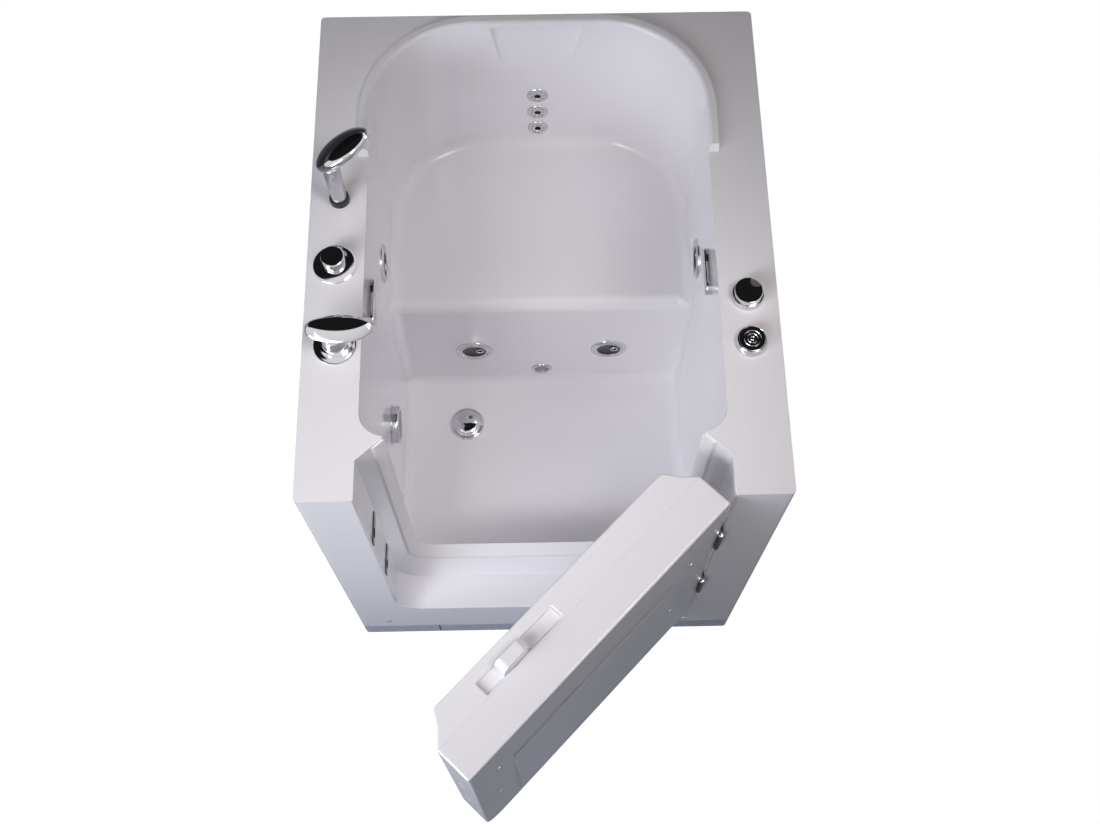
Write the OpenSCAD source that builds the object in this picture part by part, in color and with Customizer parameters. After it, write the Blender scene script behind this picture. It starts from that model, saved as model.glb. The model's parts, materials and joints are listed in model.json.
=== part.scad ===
// Walk-in bathtub with an outward-opening side-hinged door, bench seat and foot well.
// Millimetres, +X to the right as seen from the front, +Y to the back, +Z up.
// The origin is on the floor at the middle of the footprint. The door stands open at rest.

/* [Tub] */
// Overall width, side to side
tub_w = 813; // [805:1:840]
// Overall depth, front face to back edge
tub_d = 965; // [955:1:1000]
// Height of the deck above the floor
deck_z = 935; // [915:1:980]
// Thickness of the moulded shell
wall = 6; // [4:0.5:7]
// Radius of the vertical corners in plan
corner_r = 8; // [7.5:0.5:12]
// Height of the lower edge of the front moulding
apron_z = 75; // [70:1:110]
// Drop of the turned-down edge along the sides and back
edge_drop = 40; // [20:1:60]
// Length that the front moulding wraps round each side
front_return = 40; // [20:1:80]
// Height of the gap under the toe strip
toe_z = 15; // [8:1:30]
// Distance of the toe strip's seam from the middle, to the left
toe_seam = 236; // [100:1:300]
// Distance of the left front screw from the side
left_screw_in = 63.5; // [30:0.5:90]
// Height of the left front screw above the moulding's lower edge
left_screw_up = 45; // [20:1:80]
// Distance of the right front screw from the side
right_screw_in = 102.5; // [60:0.5:140]
// Height of the right front screw above the moulding's lower edge
right_screw_up = 25; // [15:1:80]

/* [Basin] */
// Width of the deck on each side of the basin
side_deck = 100.5; // [99.5:0.5:108.5]
// Distance from the front face to the basin
jamb_d = 112.5; // [108:0.5:125]
// Width of the deck behind the basin
back_deck = 30.5; // [28:0.5:50]
// Radius of the basin's front corners
basin_front_r = 44; // [20:1:60]
// Radius of the basin's back corners
basin_back_r = 190; // [80:1:200]
// Height of the seat
seat_z = 560; // [520:1:590]
// Depth of the seat, front to back
seat_depth = 397; // [380:1:410]
// Height of the foot well's floor
floor_z = 200; // [195:1:215]
// Width of the raised rim round the backrest
ridge_w = 19; // [10:1:24]
// Height of the raised rim above the deck
ridge_h = 12; // [6:1:20]
// Length of the raised rim forward of the basin's back
ridge_run = 285; // [200:1:340]
// Width of the head hollow at its top
hollow_w = 176; // [120:1:200]
// Depth of the head hollow at its top
hollow_d = 8; // [4:1:10]
// Distance of the head hollow's top below the deck
hollow_dn = 15; // [10:1:30]
// Height of the head hollow
hollow_h = 82; // [60:1:100]

/* [Doorway] */
// Distance of the rebate's side beyond the basin's side
rebate_out = 3; // [0:0.5:5]
// Height of the rebate's sill
sill_z = 225; // [220:1:232]
// Corner radius of the rebate
rebate_r = 62; // [50:1:75]
// Depth of the rebate from the front face
rebate_d = 70.5; // [68:0.5:72]
// Inset of the lip from the basin's side
lip_in = 40; // [38:0.5:43.5]
// Height of the lip's sill
lip_z = 325; // [318:1:330]
// Corner radius of the lip
lip_r = 35; // [25:1:45]
// Width of the flat edge of the lip
lip_land = 4; // [2:0.5:6]
// Gap between the door seal and the flare
seal_ease = 0.2; // [0.1:0.05:0.3]
// Thickness of the door seal
seal_t = 3.5; // [2:0.1:3.7]
// Width of the door seal, front to back
seal_w = 16; // [8:1:20]

/* [Door] */
// Gap between the door and the rebate
door_gap = 9; // [8:0.5:11]
// Distance that the door stands proud of the front
door_proud = 9.5; // [6:0.5:12]
// Thickness of the door's outer slab
slab_d = 66; // [62:1:68]
// Thickness of the door mouldings
door_wall = 5; // [3:0.5:6]
// Angle at which the door stands open at rest
open_angle = 45.5; // [0:0.5:100]
// Inset of the plug's shoulder from the slab's side
shoulder_in = 24; // [20:1:40]
// Rise of the plug's shoulder above the slab's lower edge
shoulder_up = 56; // [50:1:70]
// Depth of the plug's shoulder
shoulder_d = 24; // [18:1:28]
// Inset of the plug's face from the slab's side
plug_in = 40; // [39:1:60]
// Rise of the plug's face above the slab's lower edge
plug_up = 99; // [98:1:120]
// Depth of the plug, shoulder to face
plug_d = 26; // [16:1:27]
// Corner radius of the shoulder
shoulder_r = 45; // [30:1:55]
// Corner radius of the plug's face
plug_r = 30; // [20:1:40]
// Distance of the raised panel from the door's hinge side
panel_in = 109; // [60:1:140]
// Distance of the raised panel from the door's free side
panel_out = 86; // [51:1:191]
// Height of the raised panel's upper edge
panel_top_z = 740; // [650:1:800]
// Height of the raised panel's lower edge
panel_low_z = 320; // [290:1:400]
// Thickness of the raised panel
panel_t = 4; // [2:0.5:6]
// Width of the raised panel's bevel
panel_bevel = 8; // [3:1:15]
// Width of the door's steel tube
stile_w = 25; // [22:1:30]
// Inset of the upper screw on the door's free side
free_screw_in = 57; // [30:1:80]
// Height of the upper screw on the door's free side
free_screw_z = 775; // [750:1:850]
// Inset of the lower screw on the door's free side
free_screw_low_in = 49; // [30:1:80]
// Height of the lower screw on the door's free side
free_screw_low_z = 509; // [400:1:600]
// Inset of the upper screw on the door's hinge side
hinge_screw_in = 73; // [40:1:100]
// Height of the upper screw on the door's hinge side
hinge_screw_z = 759; // [750:1:850]
// Inset of the lower screw on the door's hinge side
hinge_screw_low_in = 92; // [40:1:100]
// Height of the lower screw on the door's hinge side
hinge_screw_low_z = 489; // [400:1:600]
// Radius of a screw's head
screw_head_r = 6; // [4:0.5:8]
// Height of a screw's head
screw_head_h = 2; // [1:0.5:4]

/* [Hinges] */
// Distance of the hinge axis from the rebate's side
hinge_in = 4; // [4:0.1:4.4]
// Distance of the hinge axis in front of the door's face
hinge_out = 2; // [1.9:0.1:3]
// Height of the upper hinge
hinge_high_z = 715; // [600:1:800]
// Height of the lower hinge
hinge_low_z = 415; // [350:1:500]
// Length of a hinge
hinge_len = 72; // [60:1:90]
// Radius of the hinge barrel
barrel_r = 5; // [4.5:0.1:5.1]
// Radius of the hinge pin
pin_r = 2.6; // [2:0.1:3]
// Thickness of the hinge leaves
leaf_t = 2.5; // [1.5:0.1:3]
// Length of the door's middle knuckle
knuckle_mid = 31; // [20:1:40]
// Width of a hinge leaf
hinge_leaf_w = 44; // [36:1:50]

/* [Latch] */
// Distance of the handle from the door's middle, to the free side
handle_x = 121; // [100:1:140]
// Length of the handle
handle_len = 58; // [50:1:70]
// Width of the handle
handle_w = 22; // [16:1:23]
// Height of the handle above the deck
handle_rise = 23; // [18:1:35]
// Thickness of the handle's arch
handle_t = 6; // [4:0.5:8]
// Length of the handle's track
track_len = 167.5; // [160:0.5:200]
// Width of the handle's track
track_w = 25; // [24:0.5:28]
// Depth of the handle's track
track_d = 8; // [5:0.5:12]
// Travel of the handle towards the jamb, which throws the bolts
throw_out = 28; // [20:1:30]
// Travel of the handle away from the jamb
throw_in = 60; // [40:1:62]
// Radius of the latch bolts
bolt_r = 8; // [6:0.5:9]
// Height of the upper bolt
bolt_high_z = 676; // [600:1:720]
// Height of the lower bolt
bolt_low_z = 475; // [420:1:520]
// Depth of the bolts behind the front face
bolt_y = 27.5; // [24:0.5:32]
// Distance of a withdrawn bolt's tip inside the door's end
bolt_shy = 1; // [0.5:0.1:3]
// Length of a strike plate, front to back
strike_len = 60; // [50:1:64]
// Height of a strike plate
strike_h = 26; // [24:1:40]
// Thickness of a strike plate
strike_t = 2; // [1:0.5:3]

/* [Jets and lamp] */
// Radius of a large jet's flange
jet_r = 39; // [34:1:44]
// Radius of a large jet's turning face
jet_face_r = 24.7; // [20:0.1:25]
// Radius of a large jet's barrel
jet_barrel_r = 27.5; // [27:0.5:30]
// Height of a large jet's flange above the wall
jet_proud = 5; // [3:0.5:8]
// Length of a large jet's barrel behind the wall
jet_back = 34; // [30:1:38]
// Half the distance between the riser jets
riser_jet_x = 146; // [90:1:180]
// Height of the riser jets above the foot well's floor
riser_jet_up = 156; // [120:1:180]
// Distance of the side jets behind the riser
side_jet_in = 32; // [20:1:45]
// Height of the side jets above the seat
side_jet_up = 130; // [90:1:160]
// Radius of a small jet's flange
small_jet_r = 21.5; // [16:0.5:24]
// Height of the lowest small jet above the seat
small_jet_up = 54; // [45:1:80]
// Spacing of the small jets
small_jet_gap = 55.5; // [50:0.5:64]
// Radius of the lamp's bezel
lamp_r = 23; // [20:1:30]
// Height of the lamp above the foot well's floor
lamp_up = 59; // [45:1:70]

/* [Drain and suction] */
// Distance of the drain from the basin's left side
drain_off = 136; // [116:1:166]
// Distance of the drain in front of the riser
drain_in = 109; // [80:1:140]
// Radius of the drain's flange
drain_r = 38.5; // [34:0.5:44]
// Travel of the drain's cap
drain_lift = 12; // [8:1:16]
// Outer radius of the waste pipe
waste_r = 24.15; // [20:0.05:25]
// Length of the waste pipe's plain end
waste_len = 60; // [40:1:80]
// Height of the waste pipe's middle
waste_z = 115; // [108:1:118]
// Radius of the suction flange
suction_r = 42; // [38:1:48]
// Depth of the suction cover
suction_proud = 17; // [12:1:24]
// Distance of the suction in front of the riser
suction_in = 219; // [190:1:240]
// Height of the suction above the foot well's floor
suction_up = 273; // [200:1:300]
// Length of an overflow cover
overflow_len = 93; // [70:1:110]
// Depth of the overflow covers' middle below the deck, right side
overflow_right_dn = 85; // [70:1:110]
// Depth of the overflow covers' middle below the deck, left side
overflow_left_dn = 75; // [65:1:110]
// Distance of the left overflow in front of the riser
overflow_left_in = 141; // [105:1:155]
// Distance of the right overflow in front of the riser
overflow_right_in = 83; // [65:1:125]
// Width of an overflow cover
overflow_w = 28; // [24:1:36]
// Depth of an overflow cover
overflow_proud = 11; // [10:0.5:16]
// Radius of the overflow pipes
overflow_r = 16; // [12:0.5:18]

/* [Deck fittings] */
// Distance of the spout from the basin's edge
spout_off = 44; // [38:1:50]
// Distance of the spout in front of the riser
spout_in = 259; // [225:1:305]
// Radius of the spout's flange
spout_r = 37; // [28:1:40]
// Radius of the spout's stem
spout_stem_r = 18.5; // [14:0.5:22]
// Height of the leaf's underside above the deck
leaf_up = 55; // [40:1:80]
// Length of the spout's leaf
leaf_len = 115; // [90:1:130]
// Width of the spout's leaf
leaf_w = 53; // [40:1:64]
// Thickness of the spout's leaf
leaf_h = 10; // [6:1:16]
// Distance of the mixer from the basin's edge
mixer_off = 51; // [40:1:53]
// Distance of the mixer in front of the riser
mixer_in = 105; // [85:1:135]
// Radius of the mixer's flange
mixer_r = 38; // [30:1:42]
// Radius of the mixer's knob
knob_r = 20.5; // [16:0.5:26]
// Height of the knob's top above the deck
knob_top = 32; // [26:1:50]
// Distance of the shower socket from the basin's edge
shower_off = 48; // [38:1:52]
// Distance of the shower socket behind the riser
shower_in = 26; // [5:1:45]
// Outer radius of the supply inlets
inlet_r = 10.5; // [8:0.1:11]
// Length of the supply inlets
inlet_len = 30; // [20:1:50]
// Radius of the shower socket
socket_r = 18; // [16:0.5:24]
// Radius of the shower's handle in its socket
shower_pin_r = 12.5; // [10:0.5:13]
// Height of the shower's handle above the deck
shower_up = 105; // [90:1:130]
// Radius of the shower's head
shower_head_r = 54; // [45:1:60]
// Distance of the shower's head beside its socket
head_across = 17; // [10:1:24]
// Distance of the shower's head behind its socket
head_back = 34; // [26:1:40]
// Height of the shower's head above its handle
head_up = 5; // [0:1:12]
// Tilt of the shower's head
head_tilt = 44; // [30:1:60]
// Turn of the shower's head
head_turn = 140; // [90:1:180]
// Distance of the air control and the button from the basin's edge
control_off = 48; // [38:1:54]
// Distance of the air control in front of the riser
air_in = 178; // [145:1:195]
// Distance of the button in front of the riser
button_in = 266; // [260:1:325]
// Radius of the air control and of the button's bezel
control_r = 28.5; // [24:0.5:32]
// Height of the air control above the deck
air_h = 22; // [16:1:30]
// Travel of the button
button_travel = 4; // [2:0.5:5]

/* [Frame] */
// Width of the steel tube
tube = 30; // [25:1:32]
// Width of the tube along the deck's sides
deck_tube = 20; // [15:1:22]
// Wall of the steel tube
tube_wall = 2; // [1.5:0.1:3]
// Height of the base frame's underside
base_z = 45; // [42:1:50]
// Thickness of the side panels
panel_side_t = 5; // [3:0.5:5]
// Distance of the mid posts behind the riser
mid_post_in = 75; // [70:1:85]
// Distance of the floor rails inside the basin's side
floor_rail_in = 56; // [46:1:71]
// Distance of the corner posts inside the tub's front and back
corner_post_in = 27.5; // [25:0.5:32]
// Distance of the levelling feet from the corner posts
foot_in = 60; // [50:1:90]
// Radius of a levelling foot
foot_r = 25; // [18:1:32]
// Radius of a foot's stud
stud_r = 6; // [5:0.5:8]

/* [Hidden] */
$fn = 96;
hull_fn = 36;
cut = 1;
slip = 0.05;
ease = 0.3;
thin = 0.01;

half_w = tub_w / 2;
front_y = -tub_d / 2;
back_y = tub_d / 2;
basin_x = half_w - side_deck;
basin_front_y = front_y + jamb_d;
basin_back_y = back_y - back_deck;
riser_y = basin_back_y - seat_depth;
rebate_y = front_y + rebate_d;
lip_y = basin_front_y - lip_land;
flare_run = lip_y - rebate_y;
rebate_x = basin_x + rebate_out;
lip_x = basin_x - lip_in;
skin_x = basin_x + wall;
floor_under = floor_z - wall;
seat_under = seat_z - wall;
deck_under = deck_z - wall;

// Stretch of a distance square to the flare into one across the doorway, and into one up
flare_across = sqrt(1 + pow((rebate_x - lip_x) / flare_run, 2));
flare_up = sqrt(1 + pow((lip_z - sill_z) / flare_run, 2));

slab_x = rebate_x - door_gap;
slab_z = sill_z + door_gap;
slab_r = rebate_r - door_gap;
slab_front_y = front_y - door_proud;
slab_back_y = slab_front_y + slab_d;
shoulder_y = slab_back_y + shoulder_d;
plug_y = shoulder_y + plug_d;
hinge_x = rebate_x - hinge_in;
hinge_y = slab_front_y - hinge_out;
hinge_zs = [hinge_low_z, hinge_high_z];
bolt_zs = [bolt_low_z, bolt_high_z];
bolt_mid_y = front_y + bolt_y;
track_y = slab_back_y + 4 + track_w / 2;
track_z = deck_z - track_d;
track_x = -(handle_x - (throw_in - throw_out) / 2);
bar_t = 6;
stem_w = 14;
bar_low_z = bolt_low_z - 20;
bar_high_z = bolt_high_z + 24;
bar_front_y = bolt_mid_y - bolt_r - 4;

rail_out = half_w - wall - ease - panel_side_t;
rail_x = rail_out - tube / 2;
base_top = base_z + tube;
corner_post_y = back_y - corner_post_in;
mid_post_y = riser_y + mid_post_in;
post_top = deck_under - tube;

jet_hole_r = jet_barrel_r + ease;
jet_stem_r = 8;
nut_t = 10;
side_jet_y = riser_y + side_jet_in;
side_jet_z = seat_z + side_jet_up;
riser_jet_z = floor_z + riser_jet_up;
small_jet_zs = [for (i = [0:2]) seat_z + small_jet_up + i * small_jet_gap];
small_barrel_r = 12;
small_back = 14;
lamp_z = floor_z + lamp_up;
lamp_barrel_r = 17;

drain_x = basin_x - drain_off;
drain_y = riser_y - drain_in;
drain_tail_r = 22;
drain_tail_z = floor_under - 34;
back_ease = 4;
pipe_wall = 3;
drain_t = 4;
drain_stem_r = 5;
drain_cap_r = drain_r - 7;
suction_y = riser_y - suction_in;
suction_z = floor_z + suction_up;
suction_pipe_r = 20;
suction_barrel_r = 30;
suction_flange = 3;
suction_back = 7;
side_pipe_x = skin_x + 28;
overflow_y = [riser_y - overflow_left_in, riser_y - overflow_right_in];
join_y = [riser_y - 35, riser_y + 5];
overflow_z = [deck_z - overflow_left_dn, deck_z - overflow_right_dn];

spout_pos = [-basin_x - spout_off, riser_y - spout_in];
mixer_pos = [-basin_x - mixer_off, riser_y - mixer_in];
shower_pos = [-basin_x - shower_off, riser_y + shower_in];
air_pos = [basin_x + control_off, riser_y - air_in];
button_pos = [basin_x + control_off, riser_y - button_in];
spout_screw_r = 12;
mixer_screw_r = 15;
control_screw_r = 12;
under_len = 30;
shower_mouth = 12;

manifold_r = 14;
pump_in = 132;
pump_y = mid_post_y + pump_in;
pump_z = floor_under - suction_pipe_r - 4;
pump_x = -40;
volute_r = 62;
volute_w = 60;
motor_r = 65;
motor_len = 190;
pipe_ease = 5;
floor_rail_x = basin_x - floor_rail_in;
suction_run_x = floor_rail_x + tube / 2 + suction_pipe_r + pipe_ease;
bend = 30;

// ---------- helpers ----------

// Box from one corner to the other
module block(a, b) {
  translate(a) cube(b - a);
}

// Rectangular tube from one corner to the other, open at both ends of its length
module box_tube(a, b, along) {
  difference() {
    block(a, b);
    block([for (i = [0:2]) i == along ? a[i] - cut : a[i] + tube_wall],
          [for (i = [0:2]) i == along ? b[i] + cut : b[i] - tube_wall]);
  }
}

// Puts children, drawn along +Z, at a place with +Z turned to a row axis
module facing(place, dir) {
  turn = dir == [0, -1, 0] ? [90, 0, 0] : dir == [0, 1, 0] ? [-90, 0, 0]
       : dir == [1, 0, 0] ? [0, 90, 0] : dir == [-1, 0, 0] ? [0, -90, 0]
       : dir == [0, 0, -1] ? [180, 0, 0] : [0, 0, 0];
  translate(place) rotate(turn) children();
}

// Round bar between two points on one row axis
module bar(a, b, r) {
  facing(a, (b - a) / norm(b - a)) cylinder(r = r, h = norm(b - a));
}

// Quarter bend at a corner, from one direction of travel into another
module elbow(corner, from_dir, to_dir, r, turn_r) {
  centre = corner - from_dir * turn_r + to_dir * turn_r;
  side = cross(-to_dir, from_dir);
  multmatrix([for (i = [0:2]) [-to_dir[i], from_dir[i], side[i], centre[i]]])
    rotate_extrude(angle = 90) translate([turn_r, 0]) circle(r);
}

// Round pipe along points that turn square corners
module pipe(points, r, turn_r) {
  n = len(points);
  dirs = [for (i = [0:n - 2]) (points[i + 1] - points[i]) / norm(points[i + 1] - points[i])];
  for (i = [0:n - 2])
    bar(points[i] + dirs[i] * (i == 0 ? 0 : turn_r),
        points[i + 1] - dirs[i] * (i == n - 2 ? 0 : turn_r), r);
  for (i = [1:n - 2])
    elbow(points[i], dirs[i - 1], dirs[i], r, turn_r);
}

module tub_plan(grow) {
  w = half_w + grow;
  d = tub_d / 2 + grow;
  r = corner_r + grow;
  translate([-w, -d + r]) square([2 * w, 2 * (d - r)]);
  translate([-w + r, -d]) square([2 * (w - r), 2 * d]);
  for (x = [-1, 1], y = [-1, 1]) translate([x * (w - r), y * (d - r)]) circle(r);
}

module basin_plan(grow) {
  w = basin_x + grow;
  low = basin_front_y - grow;
  high = basin_back_y + grow;
  front_r = basin_front_r + grow;
  back_r = basin_back_r + grow;
  translate([-w, low + front_r]) square([2 * w, high - back_r - low - front_r]);
  translate([-w + front_r, low]) square([2 * (w - front_r), high - back_r - low]);
  translate([-w + back_r, low + front_r]) square([2 * (w - back_r), high - low - front_r]);
  for (s = [-1, 1]) {
    translate([s * (w - front_r), low + front_r]) circle(front_r);
    translate([s * (w - back_r), high - back_r]) circle(back_r);
  }
}

// Doorway outline, square at its top: half width, lower edge, lower corner radius, upper edge
module doorway_outline(x, low, r, high) {
  translate([-x, low + r]) square([2 * x, high - low - r]);
  translate([-x + r, low]) square([2 * (x - r), high - low]);
  for (s = [-1, 1]) translate([s * (x - r), low + r]) circle(r);
}

// The same outline as a slab from one depth to another
module doorway_slab(x, low, r, high, y0, y1) {
  translate([0, y1, 0]) rotate([90, 0, 0]) linear_extrude(y1 - y0) doorway_outline(x, low, r, high);
}

// Ruled solid between two doorway outlines, each given as [half width, lower edge, radius, depth]
module doorway_ramp(a, b, high) {
  hull() for (o = [a, b])
    doorway_slab(o[0], o[1], o[2], high, o[3] - thin, o[3], $fn = hull_fn);
}

// ---------- tub ----------

module basin_solid(grow) {
  translate([0, 0, seat_z - grow]) linear_extrude(deck_z - seat_z + grow) basin_plan(grow);
  intersection() {
    translate([0, 0, floor_z - grow]) linear_extrude(seat_z - floor_z + grow) basin_plan(grow);
    block([-tub_w, -tub_d, 0], [tub_w, riser_y + grow, deck_z]);
  }
}

// Doorway space, grown by the wall on its outside when the shell is drawn
module doorway_solid(grow, high) {
  doorway_slab(rebate_x + grow, sill_z - grow, rebate_r + grow, high,
               front_y - (grow > 0 ? 0 : cut), rebate_y);
  doorway_ramp([rebate_x + grow, sill_z - grow, rebate_r + grow, rebate_y],
               [lip_x + grow, lip_z - grow, lip_r + grow, lip_y + thin], high);
  doorway_slab(lip_x + grow, lip_z - grow, lip_r + grow, high,
               lip_y, basin_front_y + (grow > 0 ? 0 : basin_front_r));
}

// Hollow in the backrest, deepest at its top and fading out at its foot
module head_hollow(grow) {
  low_x = hollow_w / 2 - 14;
  high = deck_z - hollow_dn;
  low = high - hollow_h;
  hull() {
    block([-hollow_w / 2 - grow, basin_back_y - cut, high + grow - thin],
          [hollow_w / 2 + grow, basin_back_y + hollow_d + grow, high + grow]);
    block([-low_x - grow, basin_back_y - cut, low - grow],
          [low_x + grow, basin_back_y + grow + thin, low - grow + thin]);
  }
}

module shell_fitting_holes() {
  for (s = [-1, 1]) {
    facing([s * riser_jet_x, riser_y - cut, riser_jet_z], [0, 1, 0])
      cylinder(r = jet_hole_r, h = wall + 2 * cut);
    facing([s * (basin_x - cut), side_jet_y, side_jet_z], [s, 0, 0])
      cylinder(r = jet_hole_r, h = wall + 2 * cut);
  }
  for (z = small_jet_zs)
    facing([0, basin_back_y - cut, z], [0, 1, 0]) cylinder(r = small_barrel_r + ease, h = wall + 2 * cut);
  facing([0, riser_y - cut, lamp_z], [0, 1, 0]) cylinder(r = lamp_barrel_r + ease, h = wall + 2 * cut);
  facing([-basin_x + cut, suction_y, suction_z], [-1, 0, 0])
    cylinder(r = suction_barrel_r + ease, h = wall + 2 * cut);
  for (i = [0, 1])
    facing([(i * 2 - 1) * (basin_x - cut), overflow_y[i], overflow_z[i]], [i * 2 - 1, 0, 0])
      cylinder(r = overflow_r - 2 + ease, h = wall + 2 * cut);
  translate([-drain_x, drain_y, floor_under - cut]) cylinder(r = drain_tail_r + ease, h = wall + 2 * cut);
  for (p = [[spout_pos, spout_screw_r], [mixer_pos, mixer_screw_r], [air_pos, control_screw_r],
            [button_pos, control_screw_r], [shower_pos, shower_pin_r + 2]])
    translate([p[0][0], p[0][1], deck_under - cut]) cylinder(r = p[1] + ease, h = wall + 2 * cut);
  for (z = bolt_zs)
    facing([-rebate_x + cut, bolt_mid_y, z], [-1, 0, 0]) cylinder(r = bolt_r + 2, h = wall + 2 * cut);
}

module tub_shell() color("white") difference() {
  union() {
    translate([0, 0, deck_under]) linear_extrude(wall) tub_plan(0);
    difference() {
      translate([0, 0, deck_z - edge_drop]) linear_extrude(edge_drop) tub_plan(0);
      translate([0, 0, 0]) linear_extrude(deck_under) tub_plan(-wall);
    }
    difference() {
      translate([0, 0, apron_z]) linear_extrude(deck_z - apron_z) tub_plan(0);
      translate([0, 0, 0]) linear_extrude(deck_under) tub_plan(-wall);
      block([-tub_w, front_y + front_return, 0], [tub_w, tub_d, deck_under]);
    }
    basin_solid(wall);
    doorway_solid(wall, deck_z);
    head_hollow(wall);
    difference() {
      translate([0, 0, deck_z]) linear_extrude(ridge_h) basin_plan(ridge_w);
      block([-tub_w, -tub_d, deck_z - cut], [tub_w, basin_back_y - ridge_run, deck_z + ridge_h + cut]);
    }
  }
  basin_solid(0);
  translate([0, 0, deck_z - cut]) linear_extrude(ridge_h + 2 * cut) basin_plan(0);
  doorway_solid(0, deck_z + cut);
  head_hollow(0);
  shell_fitting_holes();
}

// Toe strip between two places across the front, with a wrap round the corner that it holds
module toe_strip(x0, x1) color("whitesmoke") intersection() {
  difference() {
    translate([0, 0, toe_z]) linear_extrude(apron_z - toe_z) tub_plan(0);
    translate([0, 0, 0]) linear_extrude(apron_z + cut) tub_plan(-wall);
  }
  block([x0, front_y, 0], [x1, front_y + front_return, apron_z]);
}

module toe_strip_left() toe_strip(-half_w, -toe_seam - ease);
module toe_strip_right() toe_strip(-toe_seam, half_w);

module side_panel(side) color("white") {
  x0 = side < 0 ? -rail_out - panel_side_t : rail_out;
  block([x0, front_y + front_return + 3, base_z + 10], [x0 + panel_side_t, back_y - 12, deck_under - 4]);
}

module left_side_panel() side_panel(-1);
module right_side_panel() side_panel(1);

// ---------- frame ----------

foot_places = concat([for (x = [-1, 1], y = [-1, 1]) [x * rail_x, y * (corner_post_y - foot_in)]], [[0, 0]]);

module stud_holes() {
  for (p = foot_places)
    translate([p[0], p[1], base_z - cut]) cylinder(r = stud_r + ease, h = tube_wall + 2 * cut);
}

module base_side_rails() color("silver") for (s = [-1, 1]) difference() {
  box_tube([s * rail_x - tube / 2, -corner_post_y - tube / 2, base_z],
           [s * rail_x + tube / 2, corner_post_y + tube / 2, base_top], 1);
  stud_holes();
}

module base_cross_rails() color("silver") {
  inner = rail_x - tube / 2;
  for (y = [-corner_post_y, mid_post_y, corner_post_y])
    box_tube([-inner, y - tube / 2, base_z], [inner, y + tube / 2, base_top], 0);
  difference() {
    box_tube([-tube / 2, -corner_post_y + tube / 2, base_z],
             [tube / 2, mid_post_y - tube / 2, base_top], 1);
    stud_holes();
  }
}

module frame_posts() color("silver")
  for (x = [-rail_x, rail_x], y = [-corner_post_y, mid_post_y, corner_post_y])
    box_tube([x - tube / 2, y - tube / 2, base_top], [x + tube / 2, y + tube / 2, post_top], 2);

module deck_rails() color("silver") for (s = [0, 1])
  box_tube([s ? rail_out - deck_tube : -rail_out, -corner_post_y - tube / 2, post_top],
           [s ? rail_out : -rail_out + deck_tube, corner_post_y + tube / 2, deck_under], 1);

module seat_rails() color("silver") for (y = [mid_post_y, corner_post_y])
  box_tube([-rail_x + tube / 2, y - tube / 2, seat_under - tube],
           [rail_x - tube / 2, y + tube / 2, seat_under], 0);

// Each floor rail is welded to a leg at either end
module floor_rails() color("silver") for (s = [-1, 1]) {
  box_tube([s * floor_rail_x - tube / 2, -corner_post_y - tube / 2, floor_under - tube],
           [s * floor_rail_x + tube / 2, mid_post_y + tube / 2, floor_under], 1);
  for (y = [-corner_post_y, mid_post_y])
    box_tube([s * floor_rail_x - tube / 2, y - tube / 2, base_top],
             [s * floor_rail_x + tube / 2, y + tube / 2, floor_under - tube], 2);
}

module levelling_feet() color("dimgray") for (p = foot_places) translate([p[0], p[1], 0]) {
  rotate_extrude() polygon([[0, 0], [foot_r, 0], [foot_r, 5], [stud_r + 4, 12], [0, 12]]);
  cylinder(r = stud_r, h = base_z + tube / 2);
}

module foot_locknuts() color("silver") for (p = foot_places)
  translate([p[0], p[1], base_z - 8]) difference() {
    cylinder(r = stud_r + 6, h = 8, $fn = 6);
    translate([0, 0, -cut]) cylinder(r = stud_r + slip, h = 8 + 2 * cut);
  }

module apron_screws() color("silver")
  for (p = [[-half_w + left_screw_in, apron_z + left_screw_up],
            [half_w - right_screw_in, apron_z + right_screw_up]])
    facing([p[0], front_y, p[1]], [0, -1, 0])
      cylinder(r1 = screw_head_r - 1, r2 = screw_head_r / 2, h = screw_head_h);

// ---------- doorway parts ----------

// The flare moved inward by a distance square to its face
module seal_ramp(inward, high) {
  doorway_ramp([rebate_x - inward * flare_across, sill_z + inward * flare_up,
                rebate_r - inward, rebate_y],
               [lip_x - inward * flare_across, lip_z + inward * flare_up,
                lip_r - inward, lip_y + thin], high);
}

module door_seal() color("whitesmoke") intersection() {
  difference() {
    seal_ramp(seal_ease, deck_z - 4);
    seal_ramp(seal_ease + seal_t, deck_z);
  }
  block([-rebate_x, lip_y - seal_w, sill_z], [rebate_x, lip_y - 1, deck_z]);
}

module strike_plates() color("silver") for (z = bolt_zs) difference() {
  block([-rebate_x, bolt_mid_y - strike_len * 0.36, z - strike_h / 2],
        [-rebate_x + strike_t, bolt_mid_y + strike_len * 0.64, z + strike_h / 2]);
  facing([-rebate_x - cut, bolt_mid_y, z], [1, 0, 0]) cylinder(r = bolt_r + 1, h = strike_t + 2 * cut);
}

// Barrel piece of a hinge between two heights, on the hinge axis
module knuckle(z0, z1) {
  translate([hinge_x, hinge_y, z0]) cylinder(r = barrel_r, h = z1 - z0);
}

module pin_bore(z) {
  translate([hinge_x, hinge_y, z - hinge_len]) cylinder(r = pin_r + slip, h = 2 * hinge_len);
}

module jamb_hinge_leaves() color("dimgray") for (z = hinge_zs) difference() {
  union() {
    block([rebate_x - leaf_t, front_y - 2, z - hinge_len / 2], [rebate_x, front_y - 2 + hinge_leaf_w, z + hinge_len / 2]);
    for (span = [[-hinge_len / 2, -knuckle_mid / 2 - 0.5], [knuckle_mid / 2 + 0.5, hinge_len / 2]]) {
      knuckle(z + span[0], z + span[1]);
      block([rebate_x - leaf_t, hinge_y, z + span[0]], [rebate_x, front_y, z + span[1]]);
    }
  }
  pin_bore(z);
}

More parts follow.
